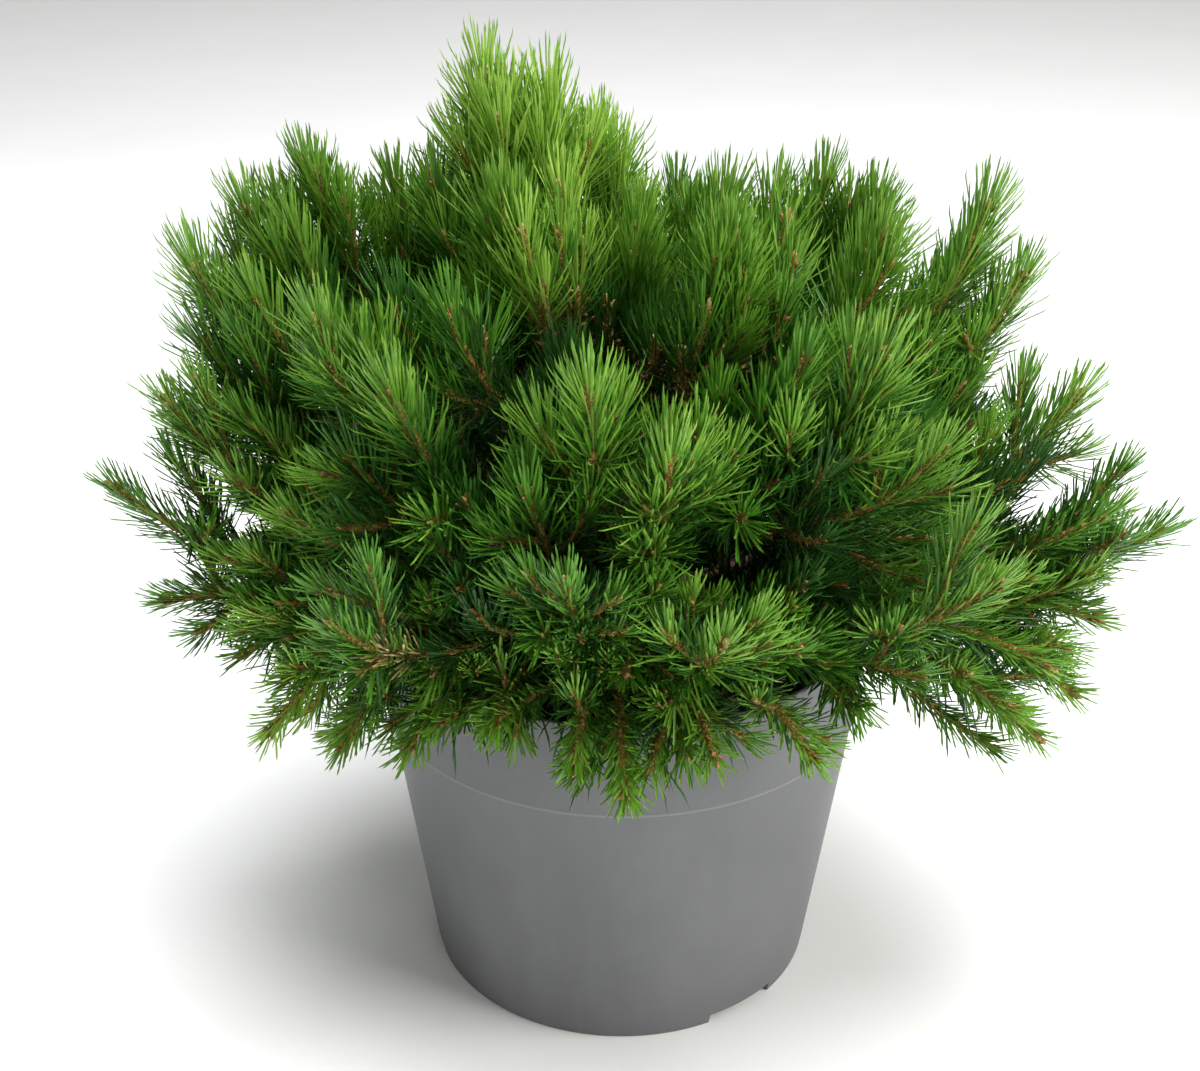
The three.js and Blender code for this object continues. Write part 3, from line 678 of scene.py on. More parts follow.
# Each use that is made of chance has a number, which keeps its draws apart from those of the others.
USES = {
    "rise": 1, "bearing": 2, "reach": 3, "bow": 11, "light": 31, "spur_turn": 61, "needle": 71,
    "side_count": 21, "side_place": 22, "whorl_turn": 23, "side_turn": 24, "side_angle": 25,
    "side_length": 26, "bud_size": 41, "bud_turn": 43, "cone_size": 47,
}


def clear_of_pot(point, margin=0.0):
    beside = np.hypot(point[..., 0], point[..., 1]) > RIM_RADIUS + RIM_CLEARANCE + margin
    return beside | (point[..., 2] > POT_HEIGHT + RIM_CLEARANCE + margin)


def over_rim(point):
    """A point raised over the pot's rim where it is above the pot."""
    point = np.array(point, float)
    if math.hypot(point[0], point[1]) < RIM_RADIUS + OVER_RIM / 2:
        point[2] = max(point[2], POT_HEIGHT + OVER_RIM)
    return point


def chance(k, use):
    """A repeatable number from 0 to 1 for thing k: what comes after the point in a tall, fast wave."""
    s = np.sin(k * 12.9898 + USES[use] * 78.233 + 3.7) * 43758.5453
    return s - np.floor(s)


print("the first three shoots draw", [round(float(chance(k, "reach")), 2) for k in range(3)])

# %% [markdown]
# ## The masses of foliage
# Each mass is named for its place and given by its leading shoots: the tips that stand out from the crown
# and make its outline. A tip has a bearing from the plant's right, a rise above the crown's centre and
# a reach to the ends of its needles.

# %% Leading tips
MASSES = {
    "leader": [[152, 72, 293], [132, 76, 275]],
    "crown_left": [[-162, 72, 238]],
    "crown_front": [[-48, 68, 232]],
    "crown_back": [[102, 73, 246], [52, 63, 226], [66, 84, 204]],
    "shoulder_left": [[166, 50, 293], [175, 44, 299], [-179, 37, 303]],
    "shoulder_back_left": [[135, 44, 256], [151, 53, 260]],
    "shoulder_back": [[78, 46, 248]],
    "shoulder_back_right": [[37, 53, 258], [27, 49, 260], [46, 55, 238]],
    "shoulder_right": [[12, 43, 297], [7, 35, 284], [8, 52, 248]],
    "shoulder_front_right": [[-46, 44, 258]],
    "shoulder_front": [[-96, 44, 256], [-84, 37, 240], [-106, 33, 222]],
    "shoulder_front_left": [[-145, 44, 268]],
    "side_left": [[-172, 11, 296], [-172, 23, 279], [-175, 31, 279]],
    "side_back_left": [[140, 16, 278]],
    "side_back": [[95, 16, 272]],
    "side_back_right": [[50, 16, 280]],
    "side_right": [[-5, 4, 312], [1, 20, 282], [-12, -4, 278], [-1, 28, 222]],
    "side_front_right": [[-42, 14, 262], [-46, 0, 222], [-62, -10, 211]],
    "side_front": [[-78, 14, 233], [-98, 22, 237]],
    "side_front_left": [[-127, 12, 250]],
    "skirt_left": [[-168, -2, 268], [-155, -17, 236], [-163, 6, 236]],
    "skirt_front_left": [[-141, -16, 212], [-127, -13, 202]],
    "skirt_front": [[-112, -7, 190], [-98, -9, 196], [-90, -12, 208], [-77, -8, 203]],
    "skirt_front_right": [[-16, -12, 274], [-24, -15, 262]],
    "skirt_right": [[24, -10, 266]],
    "skirt_back_right": [[68, -10, 258]],
    "skirt_back": [[112, -10, 256]],
    "skirt_back_left": [[157, -10, 262]],
}
print("leading tips:", sum(len(tips) for tips in MASSES.values()))

# %% Leading shoots
# A shoot's length, as a share of how far it reaches.
SHOOT_SHARE = 0.33
CORE_RADIUS = 3.9
NEEDLE = 45
# How far a shoot's foremost needles lean out of its line.
BUD_ANGLE = 20
TESTED_PLACES = (0.3, 0.45, 0.6, 0.75)
FOOT_TRIES, FOOT_LIFT = 10, 2


def shoot_between(foot, bud):
    """A shoot from foot to bud. One that would touch the pot's rim comes from higher up."""
    for _ in range(FOOT_TRIES):
        if all(clear_of_pot(mix(foot, bud, t), CORE_RADIUS) for t in TESTED_PLACES):
            break
        foot = foot + FOOT_LIFT * UP
    return {"foot": foot, "bud": bud, "aim": unit(bud - foot), "length": float(np.linalg.norm(bud - foot))}


def shoot_at(outward, reach):
    """A shoot for one place on the crown, whose foremost needles just reach it."""
    place = CENTRE + outward * reach
    aim = growth_at(place)
    bud = place - aim * NEEDLE * math.cos(radians(BUD_ANGLE))
    return shoot_between(over_rim(bud - aim * SHOOT_SHARE * reach), bud)


masses = []
for name, tips in MASSES.items():
    shoots = [shoot_at(towards(bearing, rise), reach) for bearing, rise, reach in tips]
    axis = unit(sum(unit(plain_of(shoot["bud"])) for shoot in shoots))
    masses.append({"name": name, "axis": axis, "reach": max(tip[2] for tip in tips), "shoots": shoots})
axes = np.array([mass["axis"] for mass in masses])
print(len(masses), "masses with", sum(len(mass["shoots"]) for mass in masses), "leading shoots")

# %% [markdown]
# Between the leading shoots the crown is filled by a golden spiral, the same even spread that seeds have on
# a sunflower. Each shoot belongs to the mass whose axis is nearest and is drawn into that mass's space, so
# the gaps between the masses stay open.

# %% Room for each mass
# Where a bough ends, as a share of how far its mass reaches.
BOUGH_SHARE = 0.36
PAST_BOUGH = 5
GATHER = 0.18
PULL_STEP = 0.1
CORE_CLEARANCE = 5.5
SHORTENED = (1, 0.8, 0.65, 0.5, 0.4)


def depth_inside(index, point):
    """How far a point is inside a mass's own space."""
    across = np.delete(axes[index] - axes, index, axis=0)
    return float(np.min(across @ plain_of(point) / np.linalg.norm(across, axis=1)))


def on_axis_by(index, point):
    """The place on a mass's axis that is as far out as a point."""
    return grown(axes[index] * np.linalg.norm(plain_of(point)))


def drawn_in(index, point):
    """A point drawn towards its mass's axis until it is well inside the mass's space."""
    moved, pull = point, PULL_STEP
    while pull <= 1 and depth_inside(index, moved) < CORE_CLEARANCE:
        moved = mix(point, on_axis_by(index, point), pull)
        pull += PULL_STEP
    return moved


def shoot_within(index, shoot):
    """A shoot gathered towards its mass's axis, drawn into its space and shortened as far as need be."""
    bud = drawn_in(index, mix(shoot["bud"], on_axis_by(index, shoot["bud"]), GATHER))
    for part in SHORTENED:
        foot = over_rim(drawn_in(index, shoot["bud"] - shoot["aim"] * shoot["length"] * part))
        drawn = shoot_between(foot, bud)
        out = np.linalg.norm(plain_of(drawn["foot"]))
        past_bough = out > BOUGH_SHARE * masses[index]["reach"] + PAST_BOUGH
        roomy = depth_inside(index, drawn["foot"]) > CORE_RADIUS and clear_of_pot(bud, CORE_RADIUS)
        if past_bough and roomy:
            return drawn
    return None


first_depth = depth_inside(0, masses[0]["shoots"][0]["bud"])
print("the leader's first bud is", round(first_depth), "mm inside its own space")

# %% Shoots between the leading ones
GOLDEN_ANGLE = 180 * (3 - math.sqrt(5))
SPIRAL_TIPS = 162
TOP_BIAS = 1.25
LOWEST_RISE = -15
NEAREST_TIPS = 9
NEARNESS = 150
RISE_SPREAD = 9
BEARING_SPREAD = 12
ROUGHNESS = 42
STANDING_OUT = 0.3
EDGE_DROP = 32

leading_tips = np.array([tip for tips in MASSES.values() for tip in tips])
leading_ways = np.array([towards(bearing, rise) for bearing, rise, _ in leading_tips])
leading_reach = leading_tips[:, 2]


def crown_reach(outward):
    """How far the crown reaches in a direction, which the nearest leading tips decide."""
    near = np.maximum(leading_ways @ outward, 0) ** NEARNESS
    return float(near @ leading_reach / near.sum())


def from_leading(outward):
    """The angle to the nearest leading tip."""
    return math.degrees(math.acos(min((leading_ways @ outward).max(), 1)))


lowest = math.sin(radians(LOWEST_RISE))
for k in range(SPIRAL_TIPS):
    height = 1 - (1 - lowest) * (1 - (k + 0.5) / SPIRAL_TIPS) ** TOP_BIAS
    rise = math.degrees(math.asin(height)) + RISE_SPREAD * (chance(k, "rise") - 0.5)
    outward = towards(k * GOLDEN_ANGLE + BEARING_SPREAD * (chance(k, "bearing") - 0.5), rise)
    gap = from_leading(outward)
    if gap < NEAREST_TIPS:
        continue
    reach = crown_reach(outward) - EDGE_DROP * share(gap, 0, 2 * NEAREST_TIPS)
    reach -= ROUGHNESS * (chance(k, "reach") - STANDING_OUT)
    shoot = shoot_at(outward, reach)
    index = int(np.argmax(axes @ plain_of(shoot["bud"])))
    kept = shoot_within(index, shoot)
    if kept:
        masses[index]["shoots"].append(kept)
print("shoots of this year's growth:", sum(len(mass["shoots"]) for mass in masses))

# %% [markdown]
# ## Limbs
# Trunk, boughs, stems and twigs are all tapering tubes round a line. A frame of two directions is carried
# along the line without twisting, and `relief` pushes every point of the skin in or out, which is how the
# bark gets its plates.


# %% Directions along lines
# A line that starts out rising or falling by more than this takes its first side from +X, others from +Z.
STEEP = 0.9


def frames_along(line):
    """The direction of a line at each point, and two directions across it that don't twist."""
    along = unit(np.gradient(line, axis=0))
    side = np.array([1.0, 0, 0]) if abs(along[0, 2]) > STEEP else UP
    sides = []
    for way in along:
        side = unit(side - way * (side @ way))
        sides.append(side)
    sides = np.array(sides)
    return along, sides, np.cross(along, sides)


def out_at(side, across, turn):
    """The direction out of a line at a turn round it."""
    return side * math.cos(turn) + across * math.sin(turn)


def leaning(along, out, degrees):
    """A line's direction, leaning out of it by an angle."""
    return along * math.cos(radians(degrees)) + out * math.sin(radians(degrees))


print("a line straight up has its side at", frames_along(bezier(0 * UP, UP, 2 * UP, 2))[1][0])

# %% Tubes along lines
TIP_CAP = 0.8


def limb(line, radii, sides, relief):
    """A closed tapering tube. relief gives how far each point of the skin stands out."""
    along, side, across = frames_along(line)
    turn = np.linspace(0, 2 * np.pi, sides, endpoint=False)[None, :, None]
    out = side[:, None] * np.cos(turn) + across[:, None] * np.sin(turn)
    points = line[:, None] + out * np.asarray(radii, float)[:, None, None]
    points = points + out * relief(points)[..., None]
    tip = line[-1] + along[-1] * TIP_CAP * radii[-1]
    return np.concatenate([points.reshape(-1, 3), [line[0], tip]]), tube_faces(len(line), sides)


print("a tube's tip stands out by", TIP_CAP, "of its radius")

# %% [markdown]
# ## Trunk and boughs
# Old mugo bark is grey-brown and broken into small plates. The plates come from a cell pattern: the
# distances to the nearest and second nearest of scattered points are nearly equal along a cell's edge, and
# that is where the crack goes. The boughs are younger, so their plates are smaller and flatter.

# %% Bark relief
PLATE_STRETCH = 1.8
CRACK_START, CRACK_END = 0.02, 0.22
ROUGH_SCALE, ROUGH_SHARE = 2.1, 0.35


def bark_plates(plate, depth):
    """A relief of bark plates of a size, with cracks of a depth between them."""

    def relief(points):
        flat = points.reshape(-1, 3)
        heights = np.zeros(len(flat))
        for i, (x, y, z) in enumerate(flat):
            near = noise.voronoi(Vector((x / plate, y / plate, z / (plate * PLATE_STRETCH))))[0]
            crack = 1 - share(near[1] - near[0], CRACK_START, CRACK_END)
            rough = noise.fractal(Vector((x, y, z)) / plate * ROUGH_SCALE, *FRACTAL)
            heights[i] = depth * (ROUGH_SHARE * rough - crack)
        return heights.reshape(points.shape[:-1])

    return relief


print("relief of 10 mm plates at the axis:", np.round(bark_plates(10, 1)(np.zeros((1, 3))), 2), "mm")

# %% Trunk
TRUNK_FOOT, TRUNK_FORK = (corner.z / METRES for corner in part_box("trunk"))
TRUNK_TOP = 284
TRUNK_END = TRUNK_TOP - 2
FOOT_RADIUS = 17
TRUNK_RADIUS = 12.5
TRUNK_TIP_RADIUS = 8.5
FLARE = 16
LEAN = 6
LEAN_BEARING = MASSES["leader"][0][0]
TRUNK_SIDES = 36
TRUNK_RINGS = 64
TRUNK_PLATE, TRUNK_CRACK = 5.5, 1.3


def trunk_axis(z):
    s = share(z, SOIL_TOP, TRUNK_TOP)
    return np.array([0, 0, z]) + towards(LEAN_BEARING, 0) * LEAN * s * s


def trunk_radius(z):
    flare = 1 - share(z, SOIL_TOP, SOIL_TOP + FLARE)
    plain = mix(TRUNK_RADIUS, TRUNK_TIP_RADIUS, share(z, SOIL_TOP, TRUNK_TOP))
    return plain + (FOOT_RADIUS - TRUNK_RADIUS) * flare * flare


trunk_levels = np.linspace(TRUNK_FOOT, TRUNK_END, TRUNK_RINGS)
trunk_line = np.array([trunk_axis(z) for z in trunk_levels])
trunk_relief = bark_plates(TRUNK_PLATE, TRUNK_CRACK)
trunk = limb(trunk_line, trunk_radius(trunk_levels), TRUNK_SIDES, trunk_relief)
print(f"trunk: {TRUNK_FORK - TRUNK_FOOT:.0f} mm from the soil to its fork")

# %% Boughs
BOUGH_ROOT_RADIUS = 4.4
BOUGH_TIP_RADIUS = 3.2
BOUGH_STEPS = 22
BOUGH_SIDES = 14
BOUGH_BEND = 0.45
BOUGH_STAGGER = 3
BOUGH_PLATE, BOUGH_CRACK = 2.6, 0.45
# A bough that goes to the lowest rise leaves the trunk lowest and flattest, and so on up to the highest.
LOWEST_BOUGH, HIGHEST_BOUGH = 218, 267
FLATTEST, STEEPEST = 8, 42
LOW_RISE, STEEP_RISE, HIGH_RISE = -13, 60, 70


def on_line(mass, distance):
    """A point on a mass's own line of growth, by how far along it is."""
    return over_rim(grown(mass["axis"] * distance))


def line_at(mass, distance, apart=2):
    """The direction of a mass's line of growth."""
    return unit(on_line(mass, distance + apart) - on_line(mass, distance - apart))


def bough_line(mass, order):
    """A bough leaves the trunk's side below its mass's height and bends out to the mass."""
    end = on_line(mass, BOUGH_SHARE * mass["reach"])
    if mass["name"] == "leader":
        start, leaving = trunk_axis(TRUNK_TOP - 2 * BOUGH_ROOT_RADIUS), UP
    else:
        rise = math.degrees(math.atan2(end[2] - CENTRE[2], math.hypot(end[0], end[1])))
        level = mix(LOWEST_BOUGH, HIGHEST_BOUGH, share(rise, LOW_RISE, HIGH_RISE))
        level = level + (BOUGH_STAGGER if order % 2 else -BOUGH_STAGGER)
        tilt = mix(FLATTEST, STEEPEST, share(rise, LOW_RISE, STEEP_RISE))
        leaving = towards(math.degrees(math.atan2(end[1], end[0])), tilt)
        start = trunk_axis(level) + leaving * 0.5 * trunk_radius(level)
    bend = start + leaving * BOUGH_BEND * np.linalg.norm(end - start)
    return bezier(start, bend, end, BOUGH_STEPS)


bough_radii = np.linspace(BOUGH_ROOT_RADIUS, BOUGH_TIP_RADIUS, BOUGH_STEPS + 1)
bough_relief = bark_plates(BOUGH_PLATE, BOUGH_CRACK)
bough_lines = [bough_line(mass, order) for order, mass in enumerate(masses)]
boughs = [limb(line, bough_radii, BOUGH_SIDES, bough_relief) for line in bough_lines]
print("boughs:", len(boughs))

# %% [markdown]
# Bark is rough and takes no shine. The colour follows the relief: pale grey-brown plates, dark in the
# cracks. A cell pattern at the plates' size carries that, and finer noise adds the flaking.


# %% Scaly pine bark
def scaly_bark(name, crack, plate, flake, plate_mm):
    material, place = new_material(name)
    settings = {"feature": "DISTANCE_TO_EDGE", "Scale": per_mm(plate_mm)}
    cells = add_node(material, "ShaderNodeTexVoronoi", settings, {"Vector": place})
    settings = {"From Min": 0.02, "From Max": 0.18}
    gap = add_node(material, "ShaderNodeMapRange", settings, {"Value": cells["Distance"]})
    scales, flakes = mottled(
        material, place, plate_mm * 0.5, {"Detail": 5.0}, contrast=(0.4, 0.65), colours=(plate, flake)
    )
    settings = {"data_type": "RGBA", MIX_LOW: linear(crack)}
    links = {MIX_FACTOR: gap["Result"], MIX_HIGH: scales}
    cracked = add_node(material, "ShaderNodeMix", settings, links)
    rough = {"Roughness": 0.88, "IOR": 1.45}
    return finish_surface(material, rough, {"Base Color": cracked[MIXED]}, flakes, depth_mm=0.5)


old_bark = scaly_bark("old_pine_bark", "#2b201a", "#6b5a4c", "#8d7a68", TRUNK_PLATE)
make_piece("trunk_bark", *trunk, old_bark, "bark", ["trunk"])
make_piece("bough_bark", *join(boughs), old_bark, "bark", ["bough_" + mass["name"] for mass in masses])

# %% [markdown]
# ## Twigs and shoots
# From the bough's tip a stem runs on into the mass, and a twig leaves it for every shoot. A shoot is two
# years' growth: it has a loose whorl of side shoots at its foot and another half way, where the year
# changed, and a leading shoot has a third. Side shoots leave at a wide angle and turn up. `branches` keeps
# every line with its radii, and `brushes` keeps what will carry needles.

# %% Notes of what is wood and what carries needles
STEM_RADII = (3.2, 2.8)
TWIG_RADII = (2.8, 2.6)
SHOOT_RADII = (3.0, 2.2)
SIDE_RADII = (2.5, 1.9)
SPUR_RADII = (1.8, 1.4)

branches = []
brushes = []


def add_branch(line, radii):
    """Notes a line of wood with its radii at the foot and at the tip."""
    branches.append((line, np.linspace(*radii, len(line))))


def add_brush(line, tint, length, spacing, angles, lift, start=0.0):
    """Notes a line that carries needles from a start on, given as a share of the line.

    tint is the shade of its older and younger needles, length is a needle's, spacing is the distance
    between pairs, angles are the needles' angles at the line's foot and tip, and lift is how strongly they
    turn up."""
    brush = {"line": line, "tint": tint, "length": length, "spacing": spacing}
    brushes.append({**brush, "angles": angles, "lift": lift, "start": start})


OLD_NEEDLE = 28
OLD_BRUSH = {
    "tint": ("shade", "deep"), "length": OLD_NEEDLE, "spacing": 3.0, "angles": (62, 50), "lift": 0.1
}
BOUGH_BRUSH = {**OLD_BRUSH, "angles": (66, 58)}
HANGING_BRUSH = {**OLD_BRUSH, "length": 44, "spacing": 3.2, "angles": (64, 56), "lift": -0.75}
DRY_BRUSH = {
    "tint": ("straw", "straw"), "length": 24, "spacing": 0.8, "angles": (40, 30), "lift": 0.1
}
SPUR_BRUSH = {
    "tint": ("deep", "deep"), "length": 0.85 * OLD_NEEDLE, "spacing": 1.5, "angles": (56, 30),
    "lift": 0.2, "start": 0.1,
}
print("old needles are", OLD_NEEDLE, "mm long, hanging ones", HANGING_BRUSH["length"])

# %% A shoot's line
SHOOT_STEPS = 12
SHOOT_BOW = 0.24
ARCHED = -0.7
CLIMBING = 0.4
SIDE_BOW = 0.14
# Gives a shoot that stands straight up a sideways too.
A_TOUCH = 1e-6


def bowed(foot, bud, key):
    """A shoot's line. It sags and turns up at its end, but one that hangs over the rim arches first."""
    length = np.linalg.norm(bud - foot)
    sideways = unit(np.cross(bud - foot, UP) + A_TOUCH)
    bend = mix(foot, bud, 0.5) + sideways * length * SIDE_BOW * (chance(key, "bow") - 0.5)
    full_bow = SHOOT_BOW * mix(ARCHED, 1, share((bud[2] - foot[2]) / length, 0, CLIMBING))
    for bow in (full_bow, 0.5 * full_bow, 0.0):
        line = bezier(foot, bend - UP * bow * length, bud, SHOOT_STEPS)
        if clear_of_pot(line, CORE_RADIUS).all():
            break
    return line


print("a shoot's line has", SHOOT_STEPS, "steps, and its bend hangs", SHOOT_BOW, "of its length at most")

# %% A shoot's needles and their shades
SHORT_NEEDLE, LONG_NEEDLE = 20, 35
LOW_SHOOTS, HIGH_SHOOTS = 205, 420
NEEDLE_LEAST, NEEDLE_RANGE = 0.92, 0.16
# Painted light: how pale a shoot's shades are at some heights, most at the top, and a little more at the
# rim than above it.
LIT_HEIGHTS = (200, 260, 330, 430, 500)
PAINTED_LIGHT_THERE = (0.86, 0.66, 0.52, 0.78, 1.2)
PAINTED_LIGHT_SPREAD = 0.4
PAINTED_SHADE_IN_RECESS = 0.6
RECESSED, DEEPLY_RECESSED = 5, 45
# The shades of a shoot's older and younger needles, by the painted light that it gets more than.
SHADES_BY_PAINTED_LIGHT = {
    1: ("fresh", "pale"),
    0.82: ("grass", "fresh"),
    0.58: ("green", "fresh"),
    0.34: ("deep", "grass"),
    0.14: ("deep", "green"),
    -math.inf: ("shade", "deep"),
}


def needle_at(place, key):
    """How long the needles of a shoot are: the vigorous shoots near the top have the longest ones."""
    usual = mix(SHORT_NEEDLE, LONG_NEEDLE, share(place[2], LOW_SHOOTS, HIGH_SHOOTS))
    return usual * (NEEDLE_LEAST + NEEDLE_RANGE * chance(key, "needle"))


def painted_light_tints(bud, key):
    """The shades of a shoot's needles as painted light and shade: paler high up, darker where it is
    recessed.
    """
    recess = crown_reach(unit(bud - CENTRE)) - LONG_NEEDLE - np.linalg.norm(bud - CENTRE)
    light = float(np.interp(bud[2], LIT_HEIGHTS, PAINTED_LIGHT_THERE))
    light += PAINTED_LIGHT_SPREAD * (chance(key, "light") - 0.5)
    # Painted shade: a shoot set back in the crown gets darker needles.
    light -= PAINTED_SHADE_IN_RECESS * share(recess, RECESSED, DEEPLY_RECESSED)
    return next(tint for least, tint in SHADES_BY_PAINTED_LIGHT.items() if light > least)


print("light at the top and half way:", np.interp((500, 330), LIT_HEIGHTS, PAINTED_LIGHT_THERE))

# %% Whorls of side shoots
# Where each whorl stands on its shoot, and how long its side shoots are, both as shares of the shoot.
WHORLS = ((0.08, 0.7), (0.46, 0.5))
LEADING_WHORLS = ((0.08, 0.75), (0.4, 0.6), (0.62, 0.45))
MORE_THAN_ONE = 2.2
# They keep the draws of a shoot's whorls and of its side shoots apart.
WHORL_KEY, SIDE_KEY = 31, 7
PLACE_SPREAD, TURN_SPREAD = 0.1, 40


def whorl_at(line, key, w, place):
    """The feet of a whorl's side shoots on the line, each with its own number and its way out."""
    along, side, across = frames_along(line)
    count = 1 + int(MORE_THAN_ONE * chance(key + w, "side_count"))
    for j in range(count):
        k = key + WHORL_KEY * w + SIDE_KEY * j
        at = int(round((place + PLACE_SPREAD * chance(k, "side_place")) * (len(line) - 1)))
        own_turn = TURN_SPREAD * (chance(k, "side_turn") - 0.5)
        turn = radians(360 * chance(key + w, "whorl_turn") + j * 360 / count + own_turn)
        yield k, line[at], along[at], out_at(side[at], across[at], turn)


print("whorls stand at", [place for place, _ in WHORLS], "of a shoot")

# %% Side shoots
SIDE_STEPS = 6
SIDE_ANGLE, UPRIGHT_SIDE_ANGLE, ANGLE_SPREAD = 50, 26, 16
ALONG_GROWTH, UPWARDS = 0.8, 0.3
UPRIGHT_FROM, UPRIGHT_SHORTER = 0.6, 0.75
LEAST_SIZE, SIZE_RANGE = 0.8, 0.4
# Within this angle of a leading tip, a leading shoot's side shoots may reach about as far out as it does.
TUFT_ANGLE = 4
REACH_MARGIN = 2
BUD_CLEARANCE = 9


def side_shoots(line, key, whorls, leading, needle):
    """The side shoots of a shoot: they leave it in loose whorls and turn up beside it."""
    shoot_length = np.linalg.norm(line[-1] - line[0])
    for w, (place, part) in enumerate(whorls):
        for k, foot, along, out in whorl_at(line, key, w, place):
            upright = share(along[2], UPRIGHT_FROM, 1)
            angle = mix(SIDE_ANGLE, UPRIGHT_SIDE_ANGLE, upright)
            leaving = leaning(along, out, angle + ANGLE_SPREAD * (chance(k, "side_angle") - 0.5))
            onward = unit(leaving + ALONG_GROWTH * growth_at(foot) + UPWARDS * UP)
            length = shoot_length * part * (LEAST_SIZE + SIZE_RANGE * chance(k, "side_length"))
            length = length * mix(1, UPRIGHT_SHORTER, upright)
            bend = foot + leaving * 0.5 * length
            bud = bend + onward * 0.5 * length
            # A side shoot is drawn back where its needles would stand out of the crown.
            outward = unit(bud - CENTRE)
            drop = EDGE_DROP * share(from_leading(outward), TUFT_ANGLE if leading else 0, 2 * NEAREST_TIPS)
            over = np.linalg.norm(bud - CENTRE) + needle + drop + REACH_MARGIN - crown_reach(outward)
            if over > 0:
                bend, bud = bend - outward * over / 2, bud - outward * over
            if clear_of_pot(bud, BUD_CLEARANCE) and clear_of_pot(bend, CORE_RADIUS):
                yield bezier(foot, bend, bud, SIDE_STEPS)


print("side shoots leave at about", SIDE_ANGLE, "degrees")

# %% Spurs
SPUR_PLACES = (0.35, 0.75)
SPUR_LENGTH = 26
SPUR_SAG = 0.1
SPUR_STEPS = 4
SPUR_ALONG, SPUR_OUT = 0.6, 0.7
SPUR_HANGS, SPUR_RISES = -0.6, 0.3
LOW_SPURS, HIGH_SPURS = 235, 290


def spurs(line, key):
    """Short weak shoots inside the crown, which got too little light to grow on."""
    along, side, across = frames_along(line)
    for j, place in enumerate(SPUR_PLACES):
        at = int(place * (len(line) - 1))
        out = out_at(side[at], across[at], radians(360 * chance(key + j, "spur_turn")))
        turn_up = mix(SPUR_HANGS, SPUR_RISES, share(line[at][2], LOW_SPURS, HIGH_SPURS))
        bud = line[at] + SPUR_LENGTH * unit(SPUR_ALONG * along[at] + SPUR_OUT * out + turn_up * UP)
        if clear_of_pot(bud, BUD_CLEARANCE):
            bend = mix(line[at], bud, 0.5) - SPUR_SAG * SPUR_LENGTH * UP
            spur = bezier(line[at], bend, bud, SPUR_STEPS)
            add_branch(spur, SPUR_RADII)
            add_brush(spur, **SPUR_BRUSH)


print("spurs are", SPUR_LENGTH, "mm long and stand at", SPUR_PLACES, "of a twig")

# %% [markdown]
# Shoots near the top have flowered: where the pollen cones sat, from the shoot's foot on, there are no
# needles but rows of spent brown cones, and further on the needles stand loose. The lowest shoots still
# have a few long old needles that hang down, and low on one side a few sprays have dried to straw.

# %% How a shoot grows
PAST_NEEDLES = 4
SHOOT_FASCICLES, FLOWERED_FASCICLES = 0.9, 1.6
SHOOT_ANGLES, SIDE_ANGLES, SHOOT_LIFT = (62, 28), (60, 28), 0.25
SIDE_NEEDLE, SIDE_START, SIDE_BUD = 0.93, 0.1, 0.8
FLOWERED = ("crown_front", "crown_back", "crown_left")
CONE_STRETCH = 0.52
HANGING_STRETCH = slice(0, 9)
DRY_SHOOTS = {"side_front_left": (0,), "skirt_left": (4,), "skirt_front_left": (2,)}
DRY_STRETCH = slice(4, 9)

flowered_lines = []
shoot_lines = []


def grow_shoot(mass, shoot, i, key):
    """A shoot with its side shoots and all their needles."""
    leading = i < len(MASSES[mass["name"]])
    flowered = mass["name"] in FLOWERED and not leading
    needle = needle_at(shoot["bud"], key)
    bud = shoot["bud"] + shoot["aim"] * (NEEDLE - needle + PAST_NEEDLES)
    line = bowed(shoot["foot"], bud, key)
    tint = painted_light_tints(bud, key)
    spacing = FLOWERED_FASCICLES if flowered else SHOOT_FASCICLES
    start = CONE_STRETCH if flowered else 0.0
    add_branch(line, SHOOT_RADII)
    add_brush(line, tint, needle, spacing, SHOOT_ANGLES, SHOOT_LIFT, start)
    if mass["name"].startswith("skirt"):
        add_brush(line[HANGING_STRETCH], **HANGING_BRUSH)
    if i in DRY_SHOOTS.get(mass["name"], ()):
        add_brush(line[DRY_STRETCH], **DRY_BRUSH)
    whorls = LEADING_WHORLS if leading else WHORLS
    if flowered:
        flowered_lines.append((line, key))
        whorls = whorls[1:]
    shoot_lines.append((line, 1.0, key))
    for j, side_line in enumerate(side_shoots(line, key, whorls, leading, needle)):
        add_branch(side_line, SIDE_RADII)
        add_brush(side_line, tint, SIDE_NEEDLE * needle, spacing, SIDE_ANGLES, SHOOT_LIFT, SIDE_START)
        shoot_lines.append((side_line, SIDE_BUD, key + SIDE_KEY * (j + 1)))


print("pairs of needles stand", SHOOT_FASCICLES, "mm apart on a shoot")

# %% How a twig grows
STEM_STEPS, TWIG_STEPS = 20, 12
FIRST_NODE, NODES_APART, NODES = 0.22, 0.2, 4
TWIG_DRAWN_BACK = 0.12
OLD_WOOD_START = 0.15


def grow_twig(shoot, stem, i, key):
    """A twig from one of the stem's nodes to a shoot, its middle drawn back against the shoot's aim."""
    node = stem[int(round(STEM_STEPS * (FIRST_NODE + NODES_APART * ((i - 1) % NODES))))]
    apart = np.linalg.norm(shoot["foot"] - node)
    middle = mix(node, shoot["foot"], 0.5)
    turn = over_rim(middle - shoot["aim"] * TWIG_DRAWN_BACK * apart)
    # A curve goes half way out to its bend, so the bend lies twice as far off as the turn.
    twig = bezier(node, 2 * turn - middle, shoot["foot"], TWIG_STEPS)
    add_branch(twig, TWIG_RADII)
    add_brush(twig, **OLD_BRUSH, start=OLD_WOOD_START)
    spurs(twig, key)


print("a stem has", NODES, "nodes that twigs leave it at")

# %% Growing every mass
BARE_STEPS = 12
MASS_KEY = 100

